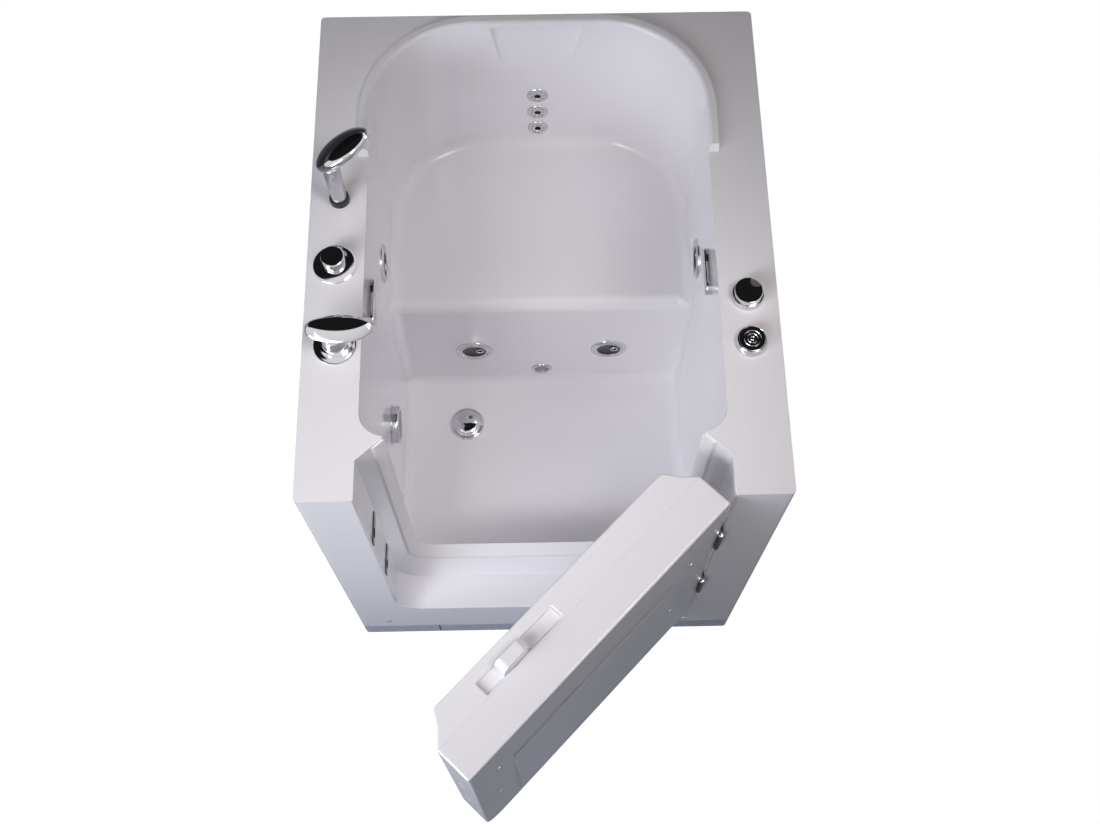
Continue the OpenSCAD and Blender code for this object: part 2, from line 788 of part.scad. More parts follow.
module hinge_pins() color("gainsboro") for (z = hinge_zs) translate([hinge_x, hinge_y, z]) {
  translate([0, 0, -hinge_len / 2 - 1]) cylinder(r = pin_r, h = hinge_len + 2);
  translate([0, 0, hinge_len / 2]) cylinder(r = barrel_r, h = 6);
  translate([0, 0, -hinge_len / 2 - 4]) cylinder(r = barrel_r, h = 4);
}

// ---------- jets, lamp ----------

// Large jet body along +Z out of the wall, origin on the wall's face
module jet_body() difference() {
  union() {
    rotate_extrude() polygon([[0, 0], [jet_r, 0], [jet_r, 2], [jet_r - 3, jet_proud], [0, jet_proud]]);
    translate([0, 0, -wall - jet_back]) cylinder(r = jet_barrel_r, h = wall + jet_back);
  }
  translate([0, 0, jet_proud - 12]) cylinder(r = jet_face_r + ease, h = 12 + cut);
  translate([0, 0, -wall - jet_back - cut]) cylinder(r = jet_stem_r + slip, h = wall + jet_back + jet_proud);
}

// Turning face of a large jet, with its stem in the body's bore and its nozzle off centre
module jet_face() difference() {
  union() {
    translate([0, 0, jet_proud - 11.5]) cylinder(r = jet_face_r, h = 10);
    translate([0, 0, jet_proud - 34]) cylinder(r = jet_stem_r, h = 23);
  }
  translate([jet_face_r * 0.5, 0, jet_proud - 6]) cylinder(r = 6, h = 6);
}

module at_riser_jet(side) facing([side * riser_jet_x, riser_y, riser_jet_z], [0, -1, 0]) children();
module at_side_jet(side) facing([side * basin_x, side_jet_y, side_jet_z], [-side, 0, 0]) children();

module riser_jet_bodies() color("silver") for (s = [-1, 1]) at_riser_jet(s) jet_body();
module side_jet_bodies() color("silver") for (s = [-1, 1]) at_side_jet(s) jet_body();
module riser_jet_face_left() color("dimgray") at_riser_jet(-1) jet_face();
module riser_jet_face_right() color("dimgray") at_riser_jet(1) jet_face();
module side_jet_face_left() color("dimgray") at_side_jet(-1) jet_face();
module side_jet_face_right() color("dimgray") at_side_jet(1) jet_face();

module jet_nut() translate([0, 0, -wall - nut_t]) difference() {
  cylinder(r = jet_barrel_r + 9, h = nut_t, $fn = 6);
  translate([0, 0, -cut]) cylinder(r = jet_barrel_r + slip, h = nut_t + 2 * cut);
}

module jet_locknuts() color("gray") for (s = [-1, 1]) {
  at_riser_jet(s) jet_nut();
  at_side_jet(s) jet_nut();
}

module back_jets() color("silver") for (z = small_jet_zs)
  facing([0, basin_back_y, z], [0, -1, 0]) difference() {
    union() {
      rotate_extrude() polygon([[0, 0], [small_jet_r, 0], [small_jet_r, 2], [small_jet_r - 4, 5], [0, 5]]);
      translate([0, 0, -wall - small_back]) cylinder(r = small_barrel_r, h = wall + small_back);
    }
    cylinder(r = 6, h = 6);
  }

module lamp_bezel() color("silver") facing([0, riser_y, lamp_z], [0, -1, 0]) difference() {
  union() {
    rotate_extrude() polygon([[0, 0], [lamp_r, 0], [lamp_r, 2], [lamp_r - 3, 5], [0, 5]]);
    translate([0, 0, -wall - 22]) cylinder(r = lamp_barrel_r, h = wall + 22);
  }
  translate([0, 0, -3]) cylinder(r = lamp_barrel_r - 2, h = 9);
}

module lamp_lens() color("lightgray") facing([0, riser_y, lamp_z], [0, -1, 0])
  translate([0, 0, -3]) rotate_extrude() intersection() {
    translate([0, -30]) circle(38);
    square([lamp_barrel_r - 2 - ease, 8]);
  }

// ---------- drain, suction, overflows ----------

module suction_body() color("silver")
  facing([-basin_x, suction_y, suction_z], [1, 0, 0]) difference() {
    back = wall + suction_back;
    union() {
      cylinder(r = suction_r, h = suction_flange);
      translate([0, 0, -back]) cylinder(r = suction_barrel_r, h = back);
    }
    translate([0, 0, -back + 3]) cylinder(r = suction_barrel_r - 4, h = back + suction_flange);
    translate([0, 0, -back - cut]) cylinder(r = suction_pipe_r - 4, h = back);
  }

// Cup with a grid of square holes in its face
module suction_cover() color("gainsboro")
  facing([-basin_x + suction_flange, suction_y, suction_z], [1, 0, 0]) {
    cup_r = suction_r - 4;
    cup_h = suction_proud - suction_flange;
    hole = 6;
    pitch = 9;
    difference() {
      cylinder(r = cup_r, h = cup_h);
      translate([0, 0, -cut]) cylinder(r = cup_r - 3, h = cup_h - 3 + cut);
      for (i = [-3:3], j = [-3:3]) if (norm([i, j]) * pitch < cup_r - 8)
        translate([i * pitch - hole / 2, j * pitch - hole / 2, cup_h - 5]) cube([hole, hole, 8]);
    }
  }

module overflow_covers() color("silver") for (i = [0, 1]) {
  s = i * 2 - 1;
  end_r = overflow_w / 2;
  spigot = 8;
  facing([s * basin_x, overflow_y[i], overflow_z[i]], [-s, 0, 0]) difference() {
    union() {
      translate([-end_r, -overflow_len / 2 + end_r, 0])
        cube([overflow_w, overflow_len - overflow_w, overflow_proud]);
      for (e = [-1, 1]) translate([0, e * (overflow_len / 2 - end_r), 0])
        cylinder(r = end_r, h = overflow_proud);
      translate([0, 0, -wall - spigot]) cylinder(r = overflow_r - 2, h = wall + spigot);
    }
    translate([0, 0, -wall - spigot - cut])
      cylinder(r = overflow_r - 5, h = wall + spigot + overflow_proud - 2);
    translate([-overflow_w, -overflow_len / 2 + end_r + 4, 3])
      cube([2 * overflow_w, overflow_len - overflow_w - 8, overflow_proud - 6]);
  }
}

module waste_run(grow) {
  pipe([[-drain_x, drain_y, drain_tail_z], [-drain_x, drain_y, waste_z],
        [-drain_x, back_y - back_ease, waste_z]], waste_r + grow, bend);
}

// Left or right overflow pipe, down the wall, back and across to the waste pipe's side
module overflow_run(i, r) {
  s = i * 2 - 1;
  x = s * side_pipe_x;
  end_x = -drain_x + s * (waste_r + ease);
  pipe([[x, overflow_y[i], overflow_z[i] + overflow_r + 6], [x, overflow_y[i], waste_z],
        [x, join_y[i], waste_z], [end_x, join_y[i], waste_z]], r, bend);
}

module overflow_pipes() color("whitesmoke") for (i = [0, 1]) difference() {
  union() {
    overflow_run(i, overflow_r);
    facing([(i * 2 - 1) * side_pipe_x, overflow_y[i], overflow_z[i]], [1 - i * 2, 0, 0])
      cylinder(r = overflow_r - 1, h = side_pipe_x - skin_x - 8 - ease);
  }
  facing([(i * 2 - 1) * side_pipe_x, overflow_y[i], overflow_z[i]], [1 - i * 2, 0, 0])
    cylinder(r = overflow_r - 5, h = side_pipe_x);
}

// The waste pipe has a collar before the plain end that leaves at the back
module waste_pipe() color("whitesmoke") difference() {
  end_y = back_y - back_ease;
  union() {
    waste_run(0);
    bar([-drain_x, end_y - waste_len - 25, waste_z], [-drain_x, end_y - waste_len, waste_z], waste_r + 4);
  }
  waste_run(-pipe_wall);
  bar([-drain_x, drain_y, drain_tail_z - cut], [-drain_x, drain_y, drain_tail_z + cut], waste_r - pipe_wall);
  bar([-drain_x, end_y - cut, waste_z], [-drain_x, end_y + cut, waste_z], waste_r - pipe_wall);
}

// Flange and tail in one, with a cross bar in the tail that guides the cap's stem
module drain_flange() color("silver") translate([-drain_x, drain_y, 0]) {
  bar_z = floor_z - 26;
  difference() {
    union() {
      translate([0, 0, floor_z]) rotate_extrude()
        polygon([[0, 0], [drain_r, 0], [drain_r - 2, drain_t], [0, drain_t]]);
      translate([0, 0, drain_tail_z]) cylinder(r = drain_tail_r, h = floor_z - drain_tail_z);
    }
    translate([0, 0, drain_tail_z - cut])
      cylinder(r = drain_tail_r - pipe_wall, h = floor_z - drain_tail_z + drain_t + 2 * cut);
  }
  difference() {
    union() {
      translate([-drain_tail_r + 2, -2, bar_z]) cube([2 * drain_tail_r - 4, 4, 12]);
      translate([0, 0, bar_z]) cylinder(r = 9, h = 12);
    }
    translate([0, 0, bar_z - cut]) cylinder(r = drain_stem_r + slip, h = 12 + 2 * cut);
  }
}

module drain_plug() color("silver") translate([-drain_x, drain_y, floor_z + drain_t + ease]) {
  rotate_extrude() polygon([[0, 0], [drain_cap_r, 0], [drain_cap_r, 3], [drain_cap_r * 0.7, 8], [0, 10]]);
  translate([0, 0, -26 - drain_lift]) cylinder(r = drain_stem_r, h = 26 + drain_lift);
}

// ---------- deck fittings ----------

module spout_base() color("silver") translate([spout_pos[0], spout_pos[1], deck_z]) {
  rotate_extrude() polygon([[0, 0], [spout_r, 0], [spout_r - 1, 3], [spout_stem_r + 4, 9], [0, 9]]);
  cylinder(r = spout_stem_r, h = leaf_up);
  translate([0, 0, -wall - under_len]) cylinder(r = spout_screw_r, h = wall + under_len);
}

module spout_leaf() color("silver")
  translate([spout_pos[0] + 16, spout_pos[1] + 4, deck_z + leaf_up]) linear_extrude(leaf_h) {
    arc_r = (pow(leaf_len / 2, 2) + pow(leaf_w / 2, 2)) / leaf_w;
    intersection() {
      translate([0, arc_r - leaf_w / 2]) circle(arc_r);
      translate([0, leaf_w / 2 - arc_r]) circle(arc_r);
    }
  }

module mixer_base() color("silver") translate([mixer_pos[0], mixer_pos[1], deck_z]) difference() {
  union() {
    rotate_extrude() polygon([[0, 0], [mixer_r, 0], [mixer_r - 2, 3], [knob_r + 1, 8], [0, 8]]);
    translate([0, 0, -wall - under_len]) cylinder(r = mixer_screw_r, h = wall + under_len);
  }
  translate([0, 0, -12]) cylinder(r = 8 + slip, h = 30);
}

module mixer_knob() color("silver") translate([mixer_pos[0], mixer_pos[1], deck_z]) {
  translate([0, 0, 8 + ease]) cylinder(r = knob_r, h = knob_top - 8 - ease);
  translate([0, 0, -10]) cylinder(r = 8, h = 20);
}

// The mixing valve hangs under the mixer's screw, with the hot and cold pipes in its underside.
// Each pipe ends at the back in a threaded inlet.
module supply_pipes() color("peru") {
  valve_top = deck_under - under_len;
  valve_w = 48;
  valve_d = 32;
  valve_h = 46;
  valve_x = -skin_x - valve_w / 2 - 2;
  block([valve_x - valve_w / 2, mixer_pos[1] - valve_d / 2, valve_top - valve_h],
        [valve_x + valve_w / 2, mixer_pos[1] + valve_d / 2, valve_top]);
  for (s = [-1, 1]) difference() {
    x = valve_x + s * valve_w / 4;
    z = valve_top - valve_h - 90 + s * 18;
    end_y = back_y - back_ease;
    union() {
      pipe([[x, mixer_pos[1], valve_top - 40], [x, mixer_pos[1], z], [x, end_y, z]], inlet_r - 2.5, 14);
      bar([x, end_y - inlet_len, z], [x, end_y, z], inlet_r);
    }
    bar([x, end_y - inlet_len, z], [x, back_y, z], inlet_r - 4);
  }
}

module shower_socket() color("dimgray") translate([shower_pos[0], shower_pos[1], deck_z]) difference() {
  union() {
    rotate_extrude() polygon([[0, 0], [socket_r, 0], [socket_r - 1, shower_mouth], [0, shower_mouth]]);
    translate([0, 0, -wall - under_len]) cylinder(r = shower_pin_r + 2, h = wall + under_len);
  }
  translate([0, 0, -wall - under_len - cut])
    cylinder(r = shower_pin_r + slip, h = wall + under_len + shower_mouth + 2 * cut);
}

module hand_shower() color("dimgray") translate([shower_pos[0], shower_pos[1], deck_z]) {
  translate([0, 0, -24]) cylinder(r = shower_pin_r, h = 40);
  translate([0, 0, shower_mouth + ease]) cylinder(r1 = 13.5, r2 = 15.5, h = shower_up - shower_mouth);
  translate([head_across, head_back, shower_up + head_up]) rotate([0, head_tilt, head_turn]) rotate_extrude()
    polygon([[0, -12], [shower_head_r - 6, -12], [shower_head_r, -4], [shower_head_r - 4, 6],
             [shower_head_r * 0.6, 15], [0, 18]]);
}

// Round deck control: a screw through the deck and a body above it, with a stem bore
module control_body(body_h, stem_r) translate([0, 0, deck_z]) difference() {
  union() {
    rotate_extrude() polygon([[0, 0], [control_r, 0], [control_r - 1.5, body_h], [0, body_h]]);
    translate([0, 0, -wall - under_len]) cylinder(r = control_screw_r, h = wall + under_len);
  }
  translate([0, 0, -20]) cylinder(r = stem_r + slip, h = 60);
}

module air_control_base() color("silver") translate([air_pos[0], air_pos[1], 0]) control_body(10, 6);

module air_control_knob() color("dimgray") translate([air_pos[0], air_pos[1], deck_z]) {
  translate([0, 0, 10 + ease]) cylinder(r = control_r - 4, h = air_h - 10 - ease);
  translate([0, 0, -18]) cylinder(r = 6, h = 30);
}

module button_bezel() color("silver") translate([button_pos[0], button_pos[1], 0]) difference() {
  control_body(12, 6);
  translate([0, 0, deck_z + 12 - button_travel - 4]) cylinder(r = control_r - 6 + ease, h = 20);
}

module push_button() color("dimgray") translate([button_pos[0], button_pos[1], deck_z]) {
  translate([0, 0, 12 - 3]) cylinder(r = control_r - 6, h = 6);
  translate([0, 0, -14]) cylinder(r = 6, h = 25);
}

// ---------- pump and pipes ----------

module pump_plate() color("silver")
  block([pump_x - 60, mid_post_y - tube / 2, base_top],
        [pump_x + motor_len + 60, corner_post_y + tube / 2, base_top + 4]);

module pump_motor() color("dimgray") {
  start = pump_x + volute_w / 2;
  facing([start, pump_y, pump_z], [1, 0, 0]) cylinder(r = motor_r, h = motor_len);
  for (x = [start + 40, start + motor_len - 60])
    block([x, pump_y - 45, base_top + 4], [x + 20, pump_y + 45, pump_z - motor_r + 25]);
}

module pump_housing() color("whitesmoke") difference() {
  union() {
    facing([pump_x - volute_w / 2, pump_y, pump_z], [1, 0, 0]) cylinder(r = volute_r, h = volute_w);
    facing([pump_x - volute_w / 2 - 30, pump_y, pump_z], [1, 0, 0]) cylinder(r = suction_pipe_r + 4, h = 40);
    translate([pump_x, pump_y, pump_z]) cylinder(r = manifold_r + 5, h = volute_r + 30);
  }
  facing([pump_x - volute_w / 2 - 30 - cut, pump_y, pump_z], [1, 0, 0]) cylinder(r = suction_pipe_r - 3, h = 60);
  translate([pump_x, pump_y, pump_z]) cylinder(r = manifold_r - 3, h = volute_r + 30 + cut);
}

module suction_pipe() color("whitesmoke") {
  end_x = pump_x - volute_w / 2 - 30 - ease;
  pipe([[-side_pipe_x, suction_y, suction_z + 26], [-side_pipe_x, suction_y, pump_z],
        [-suction_run_x, suction_y, pump_z], [-suction_run_x, pump_y, pump_z],
        [end_x, pump_y, pump_z]], suction_pipe_r, suction_pipe_r + 2);
  bar([-side_pipe_x, suction_y, suction_z], [-skin_x - suction_back - ease, suction_y, suction_z],
      suction_pipe_r - 2);
}

// Feeds the riser jets from below, the side jets from its two ends and the small jets from behind
module jet_manifold() color("whitesmoke") {
  low_z = riser_jet_z - jet_barrel_r - manifold_r * 2;
  side_x = skin_x + nut_t + manifold_r + 1;
  side_top = side_jet_z - jet_barrel_r - ease;
  pipe([[-side_x, side_jet_y, side_top], [-side_x, side_jet_y, low_z],
        [side_x, side_jet_y, low_z], [side_x, side_jet_y, side_top]], manifold_r, bend);
  for (s = [-1, 1])
    bar([s * riser_jet_x, side_jet_y - 4, low_z],
        [s * riser_jet_x, side_jet_y - 4, riser_jet_z - jet_barrel_r - ease], manifold_r - 6);
  pipe([[pump_x, pump_y, pump_z + volute_r + 30 + ease], [pump_x, pump_y, low_z + 14],
        [pump_x, side_jet_y + 40, low_z + 14]], manifold_r, bend);
  bar([pump_x, side_jet_y + 42, low_z + 14], [pump_x, side_jet_y + 12, low_z + 14], manifold_r);
  bar([pump_x, side_jet_y + 10, low_z], [pump_x, side_jet_y + 10, low_z + 14], manifold_r - 4);
}

module air_hose() color("dimgray") {
  top = deck_under - under_len;
  side_x = skin_x + jet_back / 2;
  pipe([[air_pos[0], air_pos[1], top - ease], [air_pos[0], air_pos[1], top - 14],
        [side_x, air_pos[1], top - 14], [side_x, side_jet_y, top - 14],
        [side_x, side_jet_y, side_jet_z + jet_barrel_r + ease]], 6, 12);
}

// ---------- door ----------

// Turns what is drawn for the shut door to where the door stands open
module swung() {
  translate([hinge_x, hinge_y, 0]) rotate([0, 0, open_angle]) translate([-hinge_x, -hinge_y, 0]) children();
}

// Door outlines as [half width, lower edge, radius, depth], moved inward by a wall
function slab_edge(w) = [slab_x - w, slab_z + w, slab_r - w, slab_back_y - w + thin];
function shoulder_edge(w) =
  [slab_x - shoulder_in - w, slab_z + shoulder_up + w, shoulder_r - w, shoulder_y - w];
function plug_edge(w) = [slab_x - plug_in - w, slab_z + plug_up + w, plug_r - w, plug_y - w];

screw_spots = [[-slab_x + free_screw_in, free_screw_z], [slab_x - hinge_screw_in, hinge_screw_z],
               [-slab_x + free_screw_low_in, free_screw_low_z],
               [slab_x - hinge_screw_low_in, hinge_screw_low_z]];

module bolt_holes(r, length) {
  for (z = bolt_zs)
    facing([-slab_x - cut, bolt_mid_y, z], [1, 0, 0]) cylinder(r = r, h = length + cut);
}

module raised_panel() {
  left = -slab_x + panel_out;
  right = slab_x - panel_in;
  hull() {
    block([left, slab_front_y, panel_low_z], [right, slab_front_y + thin, panel_top_z]);
    block([left + panel_bevel, slab_front_y - panel_t, panel_low_z + panel_bevel],
          [right - panel_bevel, slab_front_y, panel_top_z - panel_bevel]);
  }
}

module door_front_shell() color("white") swung() difference() {
  union() {
    doorway_slab(slab_x, slab_z, slab_r, deck_z, slab_front_y, slab_back_y);
    raised_panel();
  }
  doorway_slab(slab_x - door_wall, slab_z + door_wall, slab_r - door_wall, deck_z - door_wall,
               slab_front_y + door_wall, slab_back_y + cut);
  bolt_holes(bolt_r + 0.5, door_wall + cut);
  for (p = screw_spots)
    facing([p[0], slab_front_y - cut, p[1]], [0, 1, 0]) cylinder(r = 2.2, h = door_wall + 2 * cut);
}

module door_back_shell() color("white") swung() difference() {
  union() {
    difference() {
      union() {
        doorway_ramp(slab_edge(0), shoulder_edge(0), deck_z);
        doorway_ramp(shoulder_edge(0), plug_edge(0), deck_z);
      }
      doorway_ramp(slab_edge(door_wall), shoulder_edge(door_wall), deck_z - door_wall);
      doorway_ramp(shoulder_edge(door_wall), plug_edge(door_wall), deck_z - door_wall);
    }
    block([track_x - track_len / 2 - door_wall, slab_back_y, track_z - door_wall],
          [track_x + track_len / 2 + door_wall, track_y + track_w / 2 + door_wall, deck_z - door_wall / 2]);
  }
  block([track_x - track_len / 2, track_y - track_w / 2, track_z],
        [track_x + track_len / 2, track_y + track_w / 2, deck_z + cut]);
  block([-handle_x - throw_out - bar_t / 2 - 1, track_y - stem_w / 2 - 1, track_z - door_wall - cut],
        [-handle_x + throw_in + bar_t / 2 + 1, track_y + stem_w / 2 + 1, track_z + cut]);
}

module door_frame() color("silver") swung() difference() {
  end_x = slab_x - door_wall;
  low = slab_z + slab_r + 3;
  high = deck_z - door_wall;
  y0 = bolt_mid_y - stile_w / 2;
  y1 = bolt_mid_y + stile_w / 2;
  union() {
    box_tube([-end_x, y0, low], [-end_x + stile_w, y1, high], 2);
    box_tube([end_x - stile_w, y0, low], [end_x, y1, high], 2);
    for (z = [low, high - stile_w])
      box_tube([-end_x + stile_w, y0, z], [end_x - stile_w, y1, z + stile_w], 0);
  }
  bolt_holes(bolt_r + 0.1, door_wall + stile_w + cut);
}

module door_screws() color("silver") swung() for (p = screw_spots) {
  facing([p[0], slab_front_y, p[1]], [0, -1, 0]) cylinder(r1 = screw_head_r, r2 = screw_head_r / 2, h = screw_head_h);
  facing([p[0], slab_front_y, p[1]], [0, 1, 0]) cylinder(r = 2, h = door_wall + 4);
}

module door_hinge_leaves() color("dimgray") swung() for (z = hinge_zs) difference() {
  mid = knuckle_mid / 2;
  union() {
    block([slab_x, slab_front_y + 4, z - hinge_len / 2], [slab_x + leaf_t, slab_front_y + 4 + hinge_leaf_w, z + hinge_len / 2]);
    block([slab_x, hinge_y, z - mid], [slab_x + leaf_t, slab_front_y + 5, z + mid]);
    knuckle(z - mid, z + mid);
  }
  pin_bore(z);
}

module latch_bar() color("silver") swung() {
  block([-handle_x - bar_t / 2, bar_front_y, bar_low_z],
        [-handle_x + bar_t / 2, track_y + stem_w / 2, bar_high_z]);
  block([-handle_x - bar_t / 2, track_y - stem_w / 2, bar_high_z],
        [-handle_x + bar_t / 2, track_y + stem_w / 2, track_z + ease]);
}

module latch_bolts() color("gainsboro") swung() for (z = bolt_zs)
  bar([-handle_x - bar_t / 2, bolt_mid_y, z], [-slab_x + bolt_shy, bolt_mid_y, z], bolt_r);

// Outline of an arch with round upper corners
module arch_outline(w, low, high, r) {
  translate([-w / 2, low]) square([w, high - r - low]);
  translate([-w / 2 + r, low]) square([w - 2 * r, high - low]);
  for (s = [-1, 1]) translate([s * (w / 2 - r), high - r]) circle(r);
}

module door_handle() color("white") swung()
  translate([-handle_x, track_y + handle_w / 2, 0]) rotate([90, 0, 0]) linear_extrude(handle_w) difference() {
    arch_outline(handle_len, track_z + ease, deck_z + handle_rise, 14);
    arch_outline(handle_len - 2 * handle_t, track_z + ease + 4, deck_z + handle_rise - handle_t, 8);
  }

tub_shell();
toe_strip_left();
toe_strip_right();
left_side_panel();
right_side_panel();
base_side_rails();
base_cross_rails();
frame_posts();
deck_rails();
seat_rails();
floor_rails();
levelling_feet();
foot_locknuts();
apron_screws();
door_seal();
strike_plates();
jamb_hinge_leaves();
hinge_pins();
back_jets();
riser_jet_bodies();
side_jet_bodies();
jet_locknuts();
lamp_bezel();
lamp_lens();
suction_body();
suction_cover();
overflow_covers();
overflow_pipes();
drain_flange();
waste_pipe();
spout_base();
spout_leaf();
mixer_base();
supply_pipes();
shower_socket();
air_control_base();
button_bezel();
pump_plate();
pump_motor();
pump_housing();
suction_pipe();
jet_manifold();
air_hose();
drain_plug();
mixer_knob();
hand_shower();
air_control_knob();
push_button();
riser_jet_face_left();
riser_jet_face_right();
side_jet_face_left();
side_jet_face_right();
door_front_shell();
door_back_shell();
door_frame();
door_screws();
door_hinge_leaves();
latch_bar();
latch_bolts();
door_handle();
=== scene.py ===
# %% [markdown]
# # A walk-in bathtub with a side-hinged door
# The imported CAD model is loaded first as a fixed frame. It says where every piece sits and which body
# it moves with. Everything below dresses that frame: white moulded acrylic, chrome fittings and the
# open door. All lengths are metres, +X is right, +Y is back and +Z is up.

# %% Load the frame
import bpy
import bmesh
import json
import math
from mathutils import Matrix, Vector

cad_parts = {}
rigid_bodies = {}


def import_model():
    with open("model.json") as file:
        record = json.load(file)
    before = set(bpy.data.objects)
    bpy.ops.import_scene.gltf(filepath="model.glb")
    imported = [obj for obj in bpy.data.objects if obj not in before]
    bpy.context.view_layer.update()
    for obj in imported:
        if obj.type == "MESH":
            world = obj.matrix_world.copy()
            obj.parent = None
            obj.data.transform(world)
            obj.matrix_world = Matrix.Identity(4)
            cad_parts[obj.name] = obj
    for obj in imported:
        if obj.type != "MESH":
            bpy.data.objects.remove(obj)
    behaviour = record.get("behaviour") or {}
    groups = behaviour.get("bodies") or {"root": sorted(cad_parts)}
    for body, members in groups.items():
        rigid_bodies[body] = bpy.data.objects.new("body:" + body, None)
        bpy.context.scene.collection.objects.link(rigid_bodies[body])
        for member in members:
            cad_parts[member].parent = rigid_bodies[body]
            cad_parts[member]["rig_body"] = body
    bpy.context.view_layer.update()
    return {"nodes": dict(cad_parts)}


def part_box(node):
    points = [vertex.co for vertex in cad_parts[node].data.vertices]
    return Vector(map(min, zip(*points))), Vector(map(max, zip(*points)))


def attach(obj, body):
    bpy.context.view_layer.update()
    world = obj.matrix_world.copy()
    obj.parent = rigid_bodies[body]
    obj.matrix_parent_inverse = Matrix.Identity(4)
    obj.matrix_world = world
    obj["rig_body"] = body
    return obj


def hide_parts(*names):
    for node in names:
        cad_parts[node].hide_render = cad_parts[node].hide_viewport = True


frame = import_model()
nodes = frame["nodes"]

# %% [markdown]
# ## The camera
# The photograph looks steeply down from in front of the door. The place and the turn of the camera
# were found by fitting the tub's straight edges, and its lens follows from a focal length in pixels.

# %% Camera
PHOTO_WIDTH_PX = 1100
FOCAL_PX = 1306.75
SENSOR_MM = 36.0
CAMERA_PLACE = Vector((-0.0050, -1.1602, 2.9317))
CAMERA_YAW = math.radians(1.117)
CAMERA_PITCH = math.radians(67.486)
CAMERA_ROLL = math.radians(0.077)
CAMERA_FAR = 50.0

lens = bpy.data.cameras.new("camera")
lens.sensor_width = SENSOR_MM
lens.lens = FOCAL_PX / PHOTO_WIDTH_PX * SENSOR_MM
lens.clip_end = CAMERA_FAR
camera = bpy.data.objects.new("camera", lens)
bpy.context.scene.collection.objects.link(camera)
camera.matrix_world = Matrix.Translation(CAMERA_PLACE)
for turn, axis in ((-CAMERA_YAW, "Z"), (math.pi / 2 - CAMERA_PITCH, "X"), (CAMERA_ROLL, "Z")):
    camera.matrix_world = camera.matrix_world @ Matrix.Rotation(turn, 4, axis)
bpy.context.scene.camera = camera
print("camera lens", round(lens.lens, 2), "mm")

# %% [markdown]
# ## Ways of working
# Each piece starts from a primitive and is shaped in edit mode. These helpers do what a hand does:
# pick faces or edges by their place, round them, and cut one solid with another. A seat is a place
# and the direction that a piece on it faces.

# %% Helpers for shaping
NEAR = 0.0004
FLAT = math.radians(0.5)
UP, FRONTWARD = Vector((0, 0, 1)), Vector((0, -1, 0))
RIGHTWARD, LEFTWARD = Vector((1, 0, 0)), Vector((-1, 0, 0))


def near(a, b, reach=NEAR):
    return abs(a - b) < reach


def nothing_selected():
    if bpy.context.mode != "OBJECT":
        bpy.ops.object.mode_set(mode="OBJECT")
    bpy.ops.object.select_all(action="DESELECT")


def only(piece):
    nothing_selected()
    piece.select_set(True)
    bpy.context.view_layer.objects.active = piece


def named(name):
    piece = bpy.context.active_object
    piece.name = name
    piece.data.name = name
    return piece


def settled(piece):
    """Puts the piece's place into its mesh."""
    only(piece)
    bpy.ops.object.transform_apply(location=True, rotation=True, scale=True)
    return piece


def stood(piece, place, towards=UP):
    """Turns a piece drawn about Z to face a direction, and moves it to its place."""
    turn = UP.rotation_difference(towards).to_matrix().to_4x4()
    piece.matrix_world = Matrix.Translation(place) @ turn @ piece.matrix_world
    return settled(piece)


def joined(name, parts):
    nothing_selected()
    for part in parts:
        part.select_set(True)
    bpy.context.view_layer.objects.active = parts[0]
    if len(parts) > 1:
        bpy.ops.object.join()
    return named(name)


def shaping(piece):
    """Opens the piece in edit mode with nothing picked."""
    only(piece)
    bpy.ops.object.mode_set(mode="EDIT")
    bpy.ops.mesh.select_mode(type="EDGE")
    bpy.ops.mesh.select_all(action="DESELECT")


def shaped():
    bpy.ops.object.mode_set(mode="OBJECT")


def pick(piece, kind, wanted):
    """Picks the corners, edges or faces that are wanted, and says how many there are."""
    bpy.ops.mesh.select_mode(type=kind)
    bpy.ops.mesh.select_all(action="DESELECT")
    mesh = bmesh.from_edit_mesh(piece.data)
    parts = {"VERT": mesh.verts, "EDGE": mesh.edges, "FACE": mesh.faces}[kind]
    found = [part for part in parts if wanted(part)]
    for part in found:
        part.select_set(True)
    bmesh.update_edit_mesh(piece.data)
    return len(found)


def pick_all(kind=None):
    """Picks all of the open piece, as faces, edges or corners if a kind is given."""
    if kind:
        bpy.ops.mesh.select_mode(type=kind)
    bpy.ops.mesh.select_all(action="SELECT")


def moved_on(step):
    """Extrudes what is picked by one step."""
    bpy.ops.mesh.extrude_region_move(TRANSFORM_OT_translate={"value": step})


def divided(place, square_to):
    """Adds a ring of edges where a plane meets the open piece."""
    pick_all()
    bpy.ops.mesh.bisect(plane_co=place, plane_no=square_to)


def simplified():
    """Takes out the edges that lie in a flat face of the open piece."""
    pick_all()
    bpy.ops.mesh.dissolve_limited(angle_limit=FLAT)


def facing_out():
    pick_all()
    bpy.ops.mesh.normals_make_consistent(inside=False)


def round_edges(piece, wanted, radius, steps):
    """Rounds some edges of the open piece, and says how many there are."""
    count = pick(piece, "EDGE", wanted)
    if count:
        bpy.ops.mesh.bevel(offset=radius, segments=steps, profile=0.5, clamp_overlap=True)
    return count


def rounded(piece, wanted, radius, steps):
    """Opens the piece, rounds some of its edges and closes it."""
    shaping(piece)
    round_edges(piece, wanted, radius, steps)
    shaped()
    return piece


def middle(edge):
    return (edge.verts[0].co + edge.verts[1].co) / 2


def all_at(edge, axis, value, reach=NEAR):
    return all(near(v.co[axis], value, reach) for v in edge.verts)


def runs(edge, axis):
    """Whether the edge runs along one axis."""
    first, second = (v.co for v in edge.verts)
    return all(near(first[i], second[i]) for i in range(3) if i != axis)


def sharp(edge, degrees=25.0):
    return len(edge.link_faces) == 2 and edge.calc_face_angle(0.0) > math.radians(degrees)


